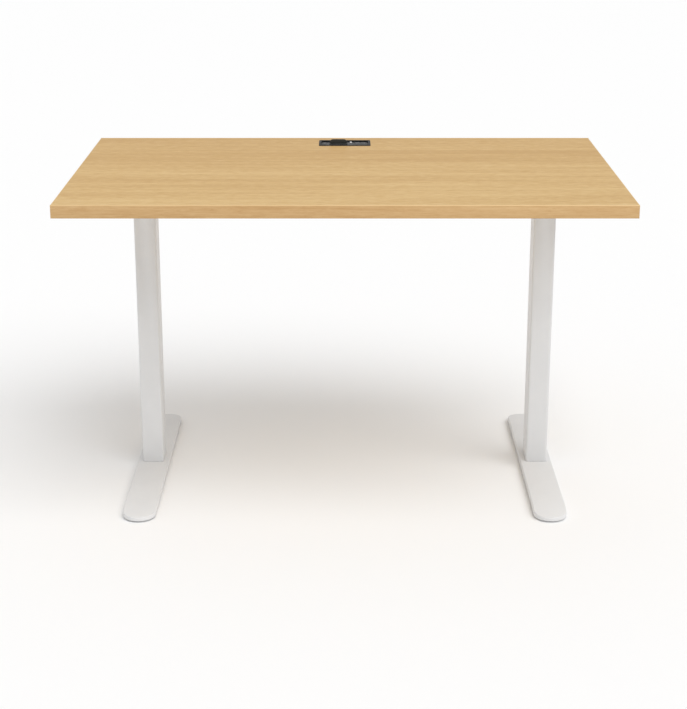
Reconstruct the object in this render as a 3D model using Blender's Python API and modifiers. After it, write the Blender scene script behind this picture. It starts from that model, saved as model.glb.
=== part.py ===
"""Height adjustable standing desk: a laminated worktop on two telescopic T-legs.

Metres, +Z up, the user's side at -Y. The origin is on the floor, under the middle of the worktop.
The legs stand at their lowest height, and every moving piece is in its rest place.
"""

import math

import bmesh
import bpy
from mathutils import Matrix, Vector

# ---- clearances ----
GAP = 0.0003                    # between pieces that touch or slide on each other

# ---- worktop ----
TOP_WIDTH = 1.219
TOP_DEPTH = 0.762
TOP_THICKNESS = 0.0286
LAMINATE = 0.0008
EDGE_BAND = 0.0020
PILOT_DEPTH = 0.0190            # blind screw holes, from the underside of the worktop

# ---- leg layout ----
LEG_SPACING = 0.920             # between the two column centres
COLUMN_SETBACK = 0.018          # column centre behind the middle of the foot
REST_REACH = 0.0624             # bracket top above the outer tube, fully lowered

# ---- foot ----
FOOT_LENGTH = 0.680
FOOT_WIDTH = 0.073
FOOT_HEIGHT = 0.016
TOE_LENGTH = 0.065              # sloping stretch at each end
TOE_HEIGHT = 0.009              # height of the tip
FOOT_WALL = 0.0032
FOOT_HOLLOW_MARGIN = 0.090      # from the tip of the foot to its hollow
FOOT_HOLLOW_CORNER = 0.008
FOOT_EDGE = 0.0012              # edge rounding
GLIDE_INSET = 0.057             # glide centre from the tip of the foot
GLIDE_RADIUS = 0.017
GLIDE_FLANGE = 0.0030
GLIDE_STEM_RADIUS = 0.0040
GLIDE_TRAVEL = 0.0070           # how far a glide screws out
GLIDE_STEM_LENGTH = GLIDE_TRAVEL + 0.0040

# ---- outer tube ----
OUTER_X = 0.050
OUTER_Y = 0.070
OUTER_WALL = 0.0016
OUTER_CORNER = 0.0050
OUTER_LENGTH = 0.620
TUBE_OVERLAP = 0.160            # of the two tubes, fully raised, with what the bracket stands off
TRAVEL = OUTER_LENGTH - TUBE_OVERLAP
BASE_PLATE = 0.0080
SPIGOT_HEIGHT = 0.0050          # centres the nut tube on the base plate
BOLT_RADIUS = 0.0040
BOLT_HEAD_RADIUS = 0.0065
BOLT_HEAD_HEIGHT = 0.0045
BOLT_SPACING = 0.046            # between the two foot bolts

# ---- inner tube and its bearings ----
BEARING = 0.0008                # thickness of the plastic between the two tubes
INNER_X = OUTER_X - 2 * (OUTER_WALL + BEARING + 2 * GAP)
INNER_Y = OUTER_Y - 2 * (OUTER_WALL + BEARING + 2 * GAP)
INNER_WALL = 0.0016
INNER_LENGTH = TRAVEL + TUBE_OVERLAP
COLLAR_HEAD = 0.0030
COLLAR_HEAD_INSET = 0.0008
COLLAR_SKIRT = 0.032
SLIDER_HEIGHT = 0.040
SLIDER_LIP = 0.0020
PEG_RADIUS = 0.0024
PEG_DROP = 0.018                # below the rim of the outer tube
PEG_SPACING = 0.034             # the pair on each wide face

# ---- drive ----
SPINDLE_RADIUS = 0.0070
SPINDLE_SHANK_RADIUS = 0.0055
SPINDLE_SHANK_LENGTH = 0.018
NUT_TUBE_RADIUS = 0.0130
NUT_TUBE_WALL = 0.0020
NUT_HEIGHT = 0.024
NUT_FLANGE = 0.0050
NUT_SPIGOT = 0.0070
NUT_TO_GEARBOX = 0.006          # left over when the desk is fully lowered
SPINDLE_TAIL = 0.026            # left below the nut, fully raised
SPINDLE_LENGTH = TRAVEL + NUT_TO_GEARBOX + NUT_HEIGHT + SPINDLE_TAIL
GEARBOX_HEIGHT = 0.046
MOTOR_CLEARANCE = 0.0024        # to the inner tube's wall
MOTOR_RADIUS = INNER_X / 2 - INNER_WALL - MOTOR_CLEARANCE
MOTOR_SHOULDER = 0.0040
MOTOR_LENGTH = 0.078
MOTOR_SHAFT_RADIUS = 0.0030
MOTOR_SHAFT_LENGTH = 0.012

# ---- top bracket ----
BRACKET_LENGTH = 0.348
BRACKET_MIDDLE = 0.090          # width at the column
BRACKET_END = 0.066             # width at the ends
BRACKET_SHEET = 0.0025
BRACKET_CORNER = 0.010
SKIRT_AT_COLUMN = 0.017         # depth with the sheet's thickness
SKIRT_AT_END = 0.006
CABLE_HOLE_RADIUS = 0.010
SCREW_X = BRACKET_END - 2 * 0.011  # spacing of the four screws across the bracket
SCREW_Y = BRACKET_LENGTH - 2 * 0.028  # and along it
SCREW_RADIUS = 0.0022
SCREW_HEAD_RADIUS = 0.0048
SCREW_HEAD_HEIGHT = 0.0028
SCREW_LENGTH = 0.0180           # from under the head to the tip

# ---- control box, under the worktop ----
BOX_LENGTH = 0.210
BOX_DEPTH = 0.094
BOX_HEIGHT = 0.036
BOX_WALL = 0.0025
BOX_CORNER = 0.008
BOX_BASE = 0.0030               # plate that screws to the worktop
BOX_EAR = 0.016                 # how far each ear stands out
PLUG_ROOM = 0.062               # behind the box, up to the front of the module
INLET_WIDTH = 0.0245
INLET_HEIGHT = 0.0170
INLET_DEPTH = 0.0200
INLET_X = -0.062
PLUG_SOCKET_WIDTH = 0.0120
PLUG_SOCKET_HEIGHT = 0.0085
PLUG_SOCKET_DEPTH = 0.0120
PLUG_SOCKET_X = (-0.012, 0.024, 0.060)

# ---- hand switch, under the front edge ----
SWITCH_LENGTH = 0.104
SWITCH_DEPTH = 0.034
SWITCH_HEIGHT = 0.0128
SWITCH_WALL = 0.0018
SWITCH_X = 0.340
SWITCH_SETBACK = 0.060          # behind the front edge
SWITCH_EAR = 0.010
SWITCH_EAR_HEIGHT = 0.0025
SWITCH_CORNER = 0.006
BUTTON_WIDTH = 0.022
BUTTON_HEIGHT = 0.0070
BUTTON_SPACING = 0.040
BUTTON_TRAVEL = 0.0008
BUTTON_PROUD = BUTTON_TRAVEL + 0.0006
BUTTON_FLANGE = 0.0012

# ---- module let into the worktop ----
MODULE_WIDTH = 0.126
MODULE_DEPTH = 0.072
MODULE_INSET = 0.037            # rear of the rim from the worktop's back edge
RIM_RISE = 0.0012
RIM_WIDTH = 0.0060
RIM_CORNER = 0.0040
RIM_WALL = 0.0025               # skirt that lines the cut-out
RIM_SKIRT = 0.020
FACE_RECESS = 0.0024
FACE_THICKNESS = 0.0020
HOUSING_HEIGHT = 0.052
HOUSING_WALL = 0.0020
JACK_RADIUS = 0.0030
SLOT_X = -0.0155
SLOT_DEPTH = 0.0082
SLOT_FRONT = 0.0250             # front of the cable slot behind the front of the rim
LID_WIDTH = 0.0440
LID_HEIGHT = 0.0120             # above its hinge
LID_THICKNESS = 0.0016
LID_SHOULDER = 0.0095
LID_OVERLAP = 0.0007            # of the closed lid over each end of the slot
SLOT_WIDTH = LID_WIDTH - 2 * LID_OVERLAP
HINGE_RADIUS = 0.0013
PIN_RADIUS = 0.0008
LUG_WIDTH = 0.0018
POWER_TO_USB_A = 0.0076         # centre of the button from the flange of the USB-A block
POWER_FROM_REAR = 0.0200        # and from the rear of the rim
POWER_RADIUS = 0.0029
POWER_TRAVEL = 0.0010
POWER_PROUD = POWER_TRAVEL + 0.0006
POWER_FLANGE = 0.0010
USB_A_FROM_REAR = 0.0240
USB_A_PITCH = 0.0145
USB_A_PORT = (0.0126, 0.0052)
USB_A_DEPTH = 0.0100
USB_A_BLOCK = (0.0285, 0.0120)
USB_A_FLANGE = 0.0015           # round the foot of the block, under the faceplate
USB_C_INSET = 0.0057            # centre of the port from the housing's inner wall
USB_C_FROM_REAR = 0.0250
USB_C_SHELL = (0.0090, 0.0032)
USB_C_WALL = 0.0005
USB_C_DEPTH = 0.0080

# ---- heights that follow ----
FOOT_BOTTOM = GLIDE_FLANGE + GAP
FOOT_TOP = FOOT_BOTTOM + FOOT_HEIGHT
OUTER_BOTTOM = FOOT_TOP + GAP
OUTER_TOP = OUTER_BOTTOM + OUTER_LENGTH
BRACKET_TOP = OUTER_TOP + REST_REACH
BRACKET_UNDER = BRACKET_TOP - BRACKET_SHEET
INNER_TOP = BRACKET_UNDER - GAP
INNER_BOTTOM = INNER_TOP - INNER_LENGTH
WORKTOP_BOTTOM = BRACKET_TOP + GAP
WORKTOP_TOP = WORKTOP_BOTTOM + TOP_THICKNESS
FLOOR_OF_TUBE = OUTER_BOTTOM + BASE_PLATE
GEARBOX_TOP = INNER_TOP - MOTOR_LENGTH - GAP
GEARBOX_BOTTOM = GEARBOX_TOP - GEARBOX_HEIGHT
NUT_TOP = GEARBOX_BOTTOM - NUT_TO_GEARBOX
NUT_SEAT = NUT_TOP - NUT_HEIGHT + NUT_SPIGOT
FACE_TOP = WORKTOP_TOP + RIM_RISE - FACE_RECESS
FACE_UNDER = FACE_TOP - FACE_THICKNESS
MODULE_REAR = TOP_DEPTH / 2 - MODULE_INSET
MODULE_FRONT = MODULE_REAR - MODULE_DEPTH
MODULE_Y = (MODULE_FRONT + MODULE_REAR) / 2
SKIRT_INSET = RIM_WIDTH - RIM_WALL
CUTOUT = (MODULE_WIDTH - 2 * SKIRT_INSET, MODULE_DEPTH - 2 * SKIRT_INSET)
BOX_Y = MODULE_FRONT - PLUG_ROOM - BOX_DEPTH / 2

TURN_STEPS = 20


# ---- scene, finishes and small helpers ----

def clear_scene():
    for thing in list(bpy.data.objects):
        bpy.data.objects.remove(thing, do_unlink=True)


def new_collection(name):
    collection = bpy.data.collections.new(name)
    bpy.context.scene.collection.children.link(collection)
    return collection


clear_scene()
PARTS = new_collection("standing_desk")
CUTTERS = new_collection("standing_desk_cutters")

FINISHES = {
    "wood_core": ((0.46, 0.33, 0.20), 0.85, 0.0),
    "wood_laminate": ((0.67, 0.47, 0.24), 0.42, 0.0),
    "white_powder_coat": ((0.80, 0.80, 0.79), 0.42, 0.0),
    "zinc_steel": ((0.55, 0.56, 0.57), 0.35, 1.0),
    "motor_steel": ((0.30, 0.31, 0.32), 0.38, 1.0),
    "brass": ((0.72, 0.53, 0.25), 0.35, 1.0),
    "white_nylon": ((0.78, 0.78, 0.76), 0.50, 0.0),
    "black_plastic": ((0.030, 0.031, 0.032), 0.45, 0.0),
    "gloss_black": ((0.022, 0.023, 0.024), 0.18, 0.0),
    "white_button": ((0.88, 0.88, 0.87), 0.30, 0.0),
    "port_steel": ((0.62, 0.63, 0.64), 0.28, 1.0),
}


def finish_for(node, finish):
    """A Principled material of the node's own."""
    colour, roughness, metallic = FINISHES[finish]
    material = bpy.data.materials.new(node + "_" + finish)
    material.use_nodes = True
    shader = material.node_tree.nodes["Principled BSDF"]
    shader.inputs["Base Color"].default_value = (*colour, 1.0)
    shader.inputs["Roughness"].default_value = roughness
    shader.inputs["Metallic"].default_value = metallic
    material.diffuse_color = (*colour, 1.0)
    return material


def frame_empty(name, location):
    """A named frame that pieces are parented to."""
    empty = bpy.data.objects.new(name, None)
    empty.location = location
    empty.empty_display_size = 0.05
    PARTS.objects.link(empty)
    return empty


def as_part(thing, finish, parent=None, location=(0.0, 0.0, 0.0)):
    """Dress a piece and stand it at a location in its parent's frame."""
    thing.data.materials.clear()
    thing.data.materials.append(finish_for(thing.name, finish))
    thing.parent = parent
    thing.location = location
    return thing


def as_tool(thing):
    """Turn a shape into a cutter or a shape that is joined on."""
    for collection in list(thing.users_collection):
        collection.objects.unlink(thing)
    CUTTERS.objects.link(thing)
    thing.hide_render = True
    thing.display_type = "WIRE"
    return thing


# ---- outlines: closed lists of points, anticlockwise ----

def arc(centre, radius, start, end, steps):
    """Points along an arc, angles in degrees."""
    points = []
    for step in range(steps + 1):
        angle = math.radians(start + (end - start) * step / steps)
        points.append((centre[0] + radius * math.cos(angle), centre[1] + radius * math.sin(angle)))
    return points


def rounded_rectangle(width, depth, radius, steps=3, centre=(0.0, 0.0)):
    """A rectangle with rounded corners."""
    x = width / 2 - radius
    y = depth / 2 - radius
    points = []
    for number, (side_x, side_y) in enumerate(((1, 1), (-1, 1), (-1, -1), (1, -1))):
        corner = (centre[0] + side_x * x, centre[1] + side_y * y)
        points += arc(corner, radius, 90 * number, 90 * number + 90, steps)
    return points


def rectangle(width, depth, centre=(0.0, 0.0)):
    """A rectangle with sharp corners."""
    x, y = centre
    return [(x + width / 2, y + depth / 2), (x - width / 2, y + depth / 2),
            (x - width / 2, y - depth / 2), (x + width / 2, y - depth / 2)]


def circle(radius, steps=16, centre=(0.0, 0.0)):
    """A circle."""
    return arc(centre, radius, 0, 360, steps)[:-1]


def boat(length, middle, end, corner, inset=0.0, steps=8):
    """The bracket's outline: two long bowed sides, straight ends and rounded corners."""
    sagitta = (middle - end) / 2
    bow = ((length / 2) ** 2 + sagitta ** 2) / (2 * sagitta)
    centre_x = middle / 2 - bow
    top = length / 2 - inset - corner
    side = []
    for step in range(steps + 1):
        y = -top + 2 * top * step / steps
        side.append((centre_x + math.sqrt((bow - inset) ** 2 - y ** 2), y))
    corner_x = side[-1][0] - corner
    front = arc((corner_x, -top), corner, -90, 0, 3)[:-1]
    rear = arc((corner_x, top), corner, 0, 90, 3)[1:]
    right = front + side + rear
    return right + [(-x, -y) for x, y in right]


# ---- solids ----

def weld(mesh):
    """Merge loose caps and turn every face outwards."""
    shape = bmesh.new()
    shape.from_mesh(mesh)
    bmesh.ops.remove_doubles(shape, verts=shape.verts, dist=0.00001)
    bmesh.ops.recalc_face_normals(shape, faces=shape.faces)
    shape.to_mesh(mesh)
    shape.free()


def flat(name, loops, bottom, top):
    """A flat outline with its holes, from one height to another, as a mesh."""
    curve = bpy.data.curves.new(name, "CURVE")
    curve.dimensions = "2D"
    curve.fill_mode = "BOTH"
    curve.extrude = (top - bottom) / 2
    for loop in loops:
        spline = curve.splines.new("POLY")
        spline.points.add(len(loop) - 1)
        for point, (x, y) in zip(spline.points, loop):
            point.co = (x, y, 0.0, 1.0)
        spline.use_cyclic_u = True
    drawn = bpy.data.objects.new(name + "_outline", curve)
    drawn.location.z = (top + bottom) / 2
    PARTS.objects.link(drawn)
    bpy.context.view_layer.update()
    graph = bpy.context.evaluated_depsgraph_get()
    mesh = bpy.data.meshes.new_from_object(drawn.evaluated_get(graph))
    mesh.name = name
    mesh.transform(drawn.matrix_world)
    weld(mesh)
    bpy.data.objects.remove(drawn, do_unlink=True)
    bpy.data.curves.remove(curve)
    thing = bpy.data.objects.new(name, mesh)
    PARTS.objects.link(thing)
    return thing


def block(name, size, centre):
    """A box by its size and centre."""
    mesh = bpy.data.meshes.new(name)
    shape = bmesh.new()
    place = Matrix.Translation(centre) @ Matrix.Diagonal((*size, 1.0))
    bmesh.ops.create_cube(shape, size=1.0, matrix=place)
    shape.to_mesh(mesh)
    shape.free()
    thing = bpy.data.objects.new(name, mesh)
    PARTS.objects.link(thing)
    return thing


def rod(name, radius, length, centre, axis="Z", steps=16):
    """A cylinder by its centre and axis."""
    turns = {"X": Matrix.Rotation(math.pi / 2, 4, "Y"), "Y": Matrix.Rotation(math.pi / 2, 4, "X"),
             "Z": Matrix.Identity(4)}
    mesh = bpy.data.meshes.new(name)
    shape = bmesh.new()
    bmesh.ops.create_cone(shape, cap_ends=True, segments=steps, radius1=radius, radius2=radius,
                          depth=length, matrix=Matrix.Translation(centre) @ turns[axis])
    shape.to_mesh(mesh)
    shape.free()
    thing = bpy.data.objects.new(name, mesh)
    PARTS.objects.link(thing)
    return thing


def turned(name, profile, closed=False, steps=TURN_STEPS):
    """A turned piece: (radius, height) down the outer side, swept round Z by a Screw modifier."""
    mesh = bpy.data.meshes.new(name)
    shape = bmesh.new()
    verts = [shape.verts.new((radius, 0.0, height)) for radius, height in profile]
    for first, second in zip(verts, verts[1:]):
        shape.edges.new((first, second))
    if closed:
        shape.edges.new((verts[-1], verts[0]))
    shape.to_mesh(mesh)
    shape.free()
    thing = bpy.data.objects.new(name, mesh)
    PARTS.objects.link(thing)
    screw = thing.modifiers.new("Turn", "SCREW")
    screw.angle = math.tau
    screw.axis = "Z"
    screw.steps = steps
    screw.render_steps = steps
    screw.use_merge_vertices = True
    screw.merge_threshold = 0.00001
    screw.use_smooth_shade = True
    return thing


def combine(thing, tool, operation):
    """A Boolean with a tool shape, which goes to the cutters."""
    as_tool(tool)
    tool.parent = thing
    change = thing.modifiers.new(operation.title() + "_" + tool.name, "BOOLEAN")
    change.operation = operation
    change.solver = "EXACT"
    change.object = tool
    return thing


def cut(thing, *tools):
    for tool in tools:
        combine(thing, tool, "DIFFERENCE")
    return thing


def join(thing, *tools):
    for tool in tools:
        combine(thing, tool, "UNION")
    return thing


def round_edges(thing, width, segments=2, angle=40.0):
    """Rounded edges wherever two faces meet at more than the angle."""
    bevel = thing.modifiers.new("Round", "BEVEL")
    bevel.width = width
    bevel.segments = segments
    bevel.limit_method = "ANGLE"
    bevel.angle_limit = math.radians(angle)
    bevel.harden_normals = False
    return thing


# ---- one leg ----

def build_foot(leg, side):
    """Pressed foot: a flat stadium with sloping toes, open underneath between them."""
    radius = FOOT_WIDTH / 2
    straight = FOOT_LENGTH / 2 - radius
    outline = arc((0.0, straight), radius, 0, 180, 10) + arc((0.0, -straight), radius, 180, 360, 10)
    foot = flat(side + "_foot", [outline], FOOT_BOTTOM, FOOT_TOP)
    fall = FOOT_HEIGHT - TOE_HEIGHT
    slope = math.atan2(fall, TOE_LENGTH)
    wedge_size = Vector((FOOT_WIDTH * 2, TOE_LENGTH * 3, FOOT_HEIGHT * 2))
    for end in (-1, 1):
        wedge = block(side + "_toe_cut", wedge_size, (0.0, 0.0, 0.0))
        wedge.data.transform(Matrix.Translation((0.0, wedge_size.y / 2 * end, wedge_size.z / 2)))
        wedge.data.transform(Matrix.Rotation(-slope * end, 4, "X"))
        wedge.data.transform(Matrix.Translation((0.0, end * (FOOT_LENGTH / 2 - TOE_LENGTH), FOOT_TOP)))
        cut(foot, wedge)
    round_edges(foot, FOOT_EDGE)
    hollow_length = FOOT_LENGTH - 2 * FOOT_HOLLOW_MARGIN
    hollow = rounded_rectangle(FOOT_WIDTH - 2 * FOOT_WALL, hollow_length, FOOT_HOLLOW_CORNER)
    cut(foot, flat(side + "_foot_hollow", [hollow], -FOOT_HEIGHT, FOOT_TOP - FOOT_WALL))
    for end in (-1, 1):
        bolt_place = (0.0, COLUMN_SETBACK + end * BOLT_SPACING / 2, FOOT_TOP)
        cut(foot, rod(side + "_foot_bolt_hole", BOLT_RADIUS + GAP, FOOT_HEIGHT * 2, bolt_place))
        depth = GLIDE_STEM_LENGTH + GAP
        glide_place = (0.0, end * (FOOT_LENGTH / 2 - GLIDE_INSET), FOOT_BOTTOM)
        cut(foot, rod(side + "_glide_hole", GLIDE_STEM_RADIUS + GAP, 2 * depth, glide_place))
    return as_part(foot, "white_powder_coat", leg, (0.0, -COLUMN_SETBACK, 0.0))


def build_glide(leg, side, end, end_name):
    """Levelling glide: a nylon disc on a threaded stem."""
    chamfer = 0.0008
    top = GLIDE_FLANGE + GLIDE_STEM_LENGTH
    profile = [
        (0.0, top), (GLIDE_STEM_RADIUS - chamfer, top), (GLIDE_STEM_RADIUS, top - chamfer),
        (GLIDE_STEM_RADIUS, GLIDE_FLANGE), (GLIDE_RADIUS - chamfer, GLIDE_FLANGE),
        (GLIDE_RADIUS, GLIDE_FLANGE - chamfer), (GLIDE_RADIUS, chamfer), (GLIDE_RADIUS - chamfer, 0.0),
        (0.0, 0.0),
    ]
    glide = turned(side + "_glide_" + end_name, profile, steps=16)
    y = end * (FOOT_LENGTH / 2 - GLIDE_INSET) - COLUMN_SETBACK
    return as_part(glide, "white_nylon", leg, (0.0, y, 0.0))


def outer_outline(shrink):
    """The rounded rectangle of the outer tube, drawn in on every side."""
    corner = max(OUTER_CORNER - shrink, OUTER_CORNER - OUTER_WALL)
    return rounded_rectangle(OUTER_X - 2 * shrink, OUTER_Y - 2 * shrink, corner)


def inner_outline(grow):
    """The rounded rectangle of the inner tube, grown on every side."""
    corner = OUTER_CORNER - OUTER_WALL
    if grow < 0:
        corner -= OUTER_WALL
    return rounded_rectangle(INNER_X + 2 * grow, INNER_Y + 2 * grow, corner)


def build_outer_tube(leg, side):
    """Outer tube with the holes that hold the collar's pegs."""
    loops = [outer_outline(0.0), outer_outline(OUTER_WALL)]
    tube = flat(side + "_outer_tube", loops, OUTER_BOTTOM, OUTER_TOP)
    height = OUTER_TOP - PEG_DROP
    radius = PEG_RADIUS + GAP
    for y in (-PEG_SPACING / 2, PEG_SPACING / 2):
        cut(tube, rod(side + "_peg_hole_x", radius, OUTER_X * 1.2, (0.0, y, height), "X", 8))
    cut(tube, rod(side + "_peg_hole_y", radius, OUTER_Y * 1.2, (0.0, 0.0, height), "Y", 8))
    return as_part(tube, "white_powder_coat", leg)


def build_guide_collar(leg, side):
    """Plastic collar: a bevelled head on the outer tube, a thin skirt inside it, and six pegs."""
    head_bottom = OUTER_TOP + GAP
    head_top = head_bottom + COLLAR_HEAD
    collar = flat(side + "_guide_collar", [outer_outline(COLLAR_HEAD_INSET)], head_bottom, head_top)
    round_edges(collar, COLLAR_HEAD * 0.45, 1)
    skirt = [outer_outline(OUTER_WALL + GAP)]
    join(collar, flat(side + "_collar_skirt", skirt, OUTER_TOP - COLLAR_SKIRT, head_top - COLLAR_HEAD / 2))
    height = OUTER_TOP - PEG_DROP
    for y in (-PEG_SPACING / 2, PEG_SPACING / 2):
        join(collar, rod(side + "_peg_x", PEG_RADIUS, OUTER_X - 2 * GAP, (0.0, y, height), "X", 8))
    join(collar, rod(side + "_peg_y", PEG_RADIUS, OUTER_Y - 2 * GAP, (0.0, 0.0, height), "Y", 8))
    bore = [inner_outline(GAP)]
    cut(collar, flat(side + "_collar_bore", bore, OUTER_TOP - 2 * COLLAR_SKIRT, head_top + COLLAR_SKIRT))
    return as_part(collar, "white_nylon", leg)


def build_base_plate(leg, side):
    """Steel plate that closes the foot of the outer tube and takes the foot bolts."""
    outline = outer_outline(OUTER_WALL + GAP)
    holes = [circle(BOLT_RADIUS + GAP, 12, (0.0, end * BOLT_SPACING / 2)) for end in (-1, 1)]
    plate = flat(side + "_base_plate", [outline] + holes, OUTER_BOTTOM, FLOOR_OF_TUBE)
    spigot_radius = NUT_TUBE_RADIUS - NUT_TUBE_WALL - GAP
    spigot_centre = (0.0, 0.0, FLOOR_OF_TUBE + SPIGOT_HEIGHT / 2 - GAP)
    join(plate, rod(side + "_spigot", spigot_radius, SPIGOT_HEIGHT, spigot_centre))
    return as_part(plate, "zinc_steel", leg)


def build_foot_bolt(leg, side, end, end_name):
    """Pan-head bolt, up through the foot into the base plate."""
    head_top = FOOT_TOP - FOOT_WALL - GAP
    head_bottom = head_top - BOLT_HEAD_HEIGHT
    dome = BOLT_HEAD_HEIGHT * 0.3
    tip = FLOOR_OF_TUBE
    profile = [
        (0.0, tip), (BOLT_RADIUS - dome / 2, tip), (BOLT_RADIUS, tip - dome / 2),
        (BOLT_RADIUS, head_top), (BOLT_HEAD_RADIUS, head_top), (BOLT_HEAD_RADIUS, head_bottom + dome),
        (BOLT_HEAD_RADIUS - dome, head_bottom), (0.0, head_bottom),
    ]
    bolt = turned(side + "_foot_bolt_" + end_name, profile, steps=10)
    return as_part(bolt, "zinc_steel", leg, (0.0, end * BOLT_SPACING / 2, 0.0))


def build_nut_tube(leg, side):
    """Round tube that stands on the base plate and carries the spindle nut."""
    inner = NUT_TUBE_RADIUS - NUT_TUBE_WALL
    bottom = FLOOR_OF_TUBE + GAP
    top = NUT_SEAT - GAP
    profile = [(NUT_TUBE_RADIUS, top), (NUT_TUBE_RADIUS, bottom), (inner, bottom), (inner, top)]
    tube = turned(side + "_nut_tube", profile, closed=True, steps=16)
    return as_part(tube, "zinc_steel", leg)


def build_spindle_nut(leg, side):
    """Brass nut with a flange on the nut tube and a spigot inside it."""
    bore = SPINDLE_RADIUS + GAP
    body = NUT_TUBE_RADIUS - 0.002
    spigot = NUT_TUBE_RADIUS - NUT_TUBE_WALL - GAP
    flange_top = NUT_SEAT + NUT_FLANGE
    profile = [
        (body, NUT_TOP), (body, flange_top), (NUT_TUBE_RADIUS, flange_top), (NUT_TUBE_RADIUS, NUT_SEAT),
        (spigot, NUT_SEAT), (spigot, NUT_SEAT - NUT_SPIGOT), (bore, NUT_SEAT - NUT_SPIGOT), (bore, NUT_TOP),
    ]
    nut = turned(side + "_spindle_nut", profile, closed=True, steps=16)
    return as_part(nut, "brass", leg)


def build_spindle(leg, side):
    """Four-start spindle that hangs from the gearbox; its axis is the column's."""
    bottom = GEARBOX_BOTTOM - SPINDLE_LENGTH
    shoulder = GEARBOX_BOTTOM - GAP
    top = GEARBOX_BOTTOM + SPINDLE_SHANK_LENGTH
    chamfer = 0.0012
    profile = [
        (0.0, top), (SPINDLE_SHANK_RADIUS, top), (SPINDLE_SHANK_RADIUS, shoulder), (SPINDLE_RADIUS, shoulder),
        (SPINDLE_RADIUS, bottom + chamfer), (SPINDLE_RADIUS - chamfer, bottom), (0.0, bottom),
    ]
    spindle = turned(side + "_spindle", profile, steps=12)
    return as_part(spindle, "zinc_steel", leg)


def build_gearbox(leg, side):
    """Gearbox block that fills the inner tube, bored for the spindle below and the motor above."""
    gearbox = flat(side + "_gearbox", [inner_outline(-INNER_WALL - GAP)], GEARBOX_BOTTOM, GEARBOX_TOP)
    round_edges(gearbox, 0.0012, 1)
    below = 2 * (SPINDLE_SHANK_LENGTH + GAP)
    above = 2 * (MOTOR_SHAFT_LENGTH + GAP)
    cut(gearbox,
        rod(side + "_output_bore", SPINDLE_SHANK_RADIUS + GAP, below, (0.0, 0.0, GEARBOX_BOTTOM)),
        rod(side + "_input_bore", MOTOR_SHAFT_RADIUS + GAP, above, (0.0, 0.0, GEARBOX_TOP)))
    return as_part(gearbox, "motor_steel", leg)


def build_motor(leg, side):
    """Motor inside the top of the inner tube, its shaft down in the gearbox."""
    bottom = GEARBOX_TOP + GAP
    top = INNER_TOP - MOTOR_SHOULDER
    neck = MOTOR_RADIUS - MOTOR_SHOULDER
    profile = [
        (0.0, top), (neck, top), (MOTOR_RADIUS, top - MOTOR_SHOULDER),
        (MOTOR_RADIUS, bottom + MOTOR_SHOULDER), (neck, bottom), (MOTOR_SHAFT_RADIUS, bottom),
        (MOTOR_SHAFT_RADIUS, bottom - MOTOR_SHAFT_LENGTH), (0.0, bottom - MOTOR_SHAFT_LENGTH),
    ]
    motor = turned(side + "_motor", profile)
    return as_part(motor, "motor_steel", leg)


def build_inner_tube(leg, side):
    """Inner tube, which rises out of the outer one."""
    loops = [inner_outline(0.0), inner_outline(-INNER_WALL)]
    tube = flat(side + "_inner_tube", loops, INNER_BOTTOM, INNER_TOP)
    return as_part(tube, "white_powder_coat", leg)


def build_lower_slider(leg, side):
    """Plastic shoe round the lower end of the inner tube, with a lip under it."""
    loops = [outer_outline(OUTER_WALL + GAP), inner_outline(-INNER_WALL)]
    lip_top = INNER_BOTTOM - GAP
    slider = flat(side + "_lower_slider", loops, lip_top - SLIDER_LIP, lip_top + SLIDER_HEIGHT)
    cut(slider, flat(side + "_slider_seat", [inner_outline(GAP)], lip_top, lip_top + 2 * SLIDER_HEIGHT))
    return as_part(slider, "white_nylon", leg)


def build_top_bracket(leg, side):
    """Pressed bracket: a boat-shaped plate with a skirt that deepens towards the column."""
    outline = boat(BRACKET_LENGTH, BRACKET_MIDDLE, BRACKET_END, BRACKET_CORNER)
    bracket = flat(side + "_top_bracket", [outline], BRACKET_TOP - SKIRT_AT_COLUMN, BRACKET_TOP)
    half = BRACKET_LENGTH / 2
    flat_half = OUTER_Y / 2
    rise = SKIRT_AT_COLUMN - SKIRT_AT_END
    slope = math.atan2(rise, half - flat_half)
    size = Vector((BRACKET_MIDDLE * 2, BRACKET_LENGTH, SKIRT_AT_COLUMN * 2))
    for end in (-1, 1):
        wedge = block(side + "_skirt_cut", size, (0.0, end * size.y / 2, -size.z / 2))
        wedge.data.transform(Matrix.Rotation(slope * end, 4, "X"))
        wedge.data.transform(Matrix.Translation((0.0, end * flat_half, BRACKET_TOP - SKIRT_AT_COLUMN)))
        cut(bracket, wedge)
    round_edges(bracket, 0.0012, 1, 50.0)
    inside = boat(BRACKET_LENGTH, BRACKET_MIDDLE, BRACKET_END, BRACKET_CORNER - BRACKET_SHEET, BRACKET_SHEET)
    cut(bracket, flat(side + "_bracket_hollow", [inside], BRACKET_TOP - 2 * SKIRT_AT_COLUMN, BRACKET_UNDER))
    cut(bracket, rod(side + "_cable_hole", CABLE_HOLE_RADIUS, 4 * BRACKET_SHEET, (0.0, 0.0, BRACKET_TOP)))
    for x, y in bracket_screw_places():
        cut(bracket, screw_hole(side + "_bracket_hole", 4 * BRACKET_SHEET, (x, y, BRACKET_TOP)))
    return as_part(bracket, "white_powder_coat", leg)


def bracket_screw_places():
    """The four screws of one bracket, from the column's centre."""
    return [(x * SCREW_X / 2, y * SCREW_Y / 2) for y in (-1, 1) for x in (-1, 1)]


def screw_hole(name, length, centre):
    """A clear hole for a screw, as a tool."""
    return rod(name, SCREW_RADIUS + 2 * GAP, length, centre, "Z", 8)


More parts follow.
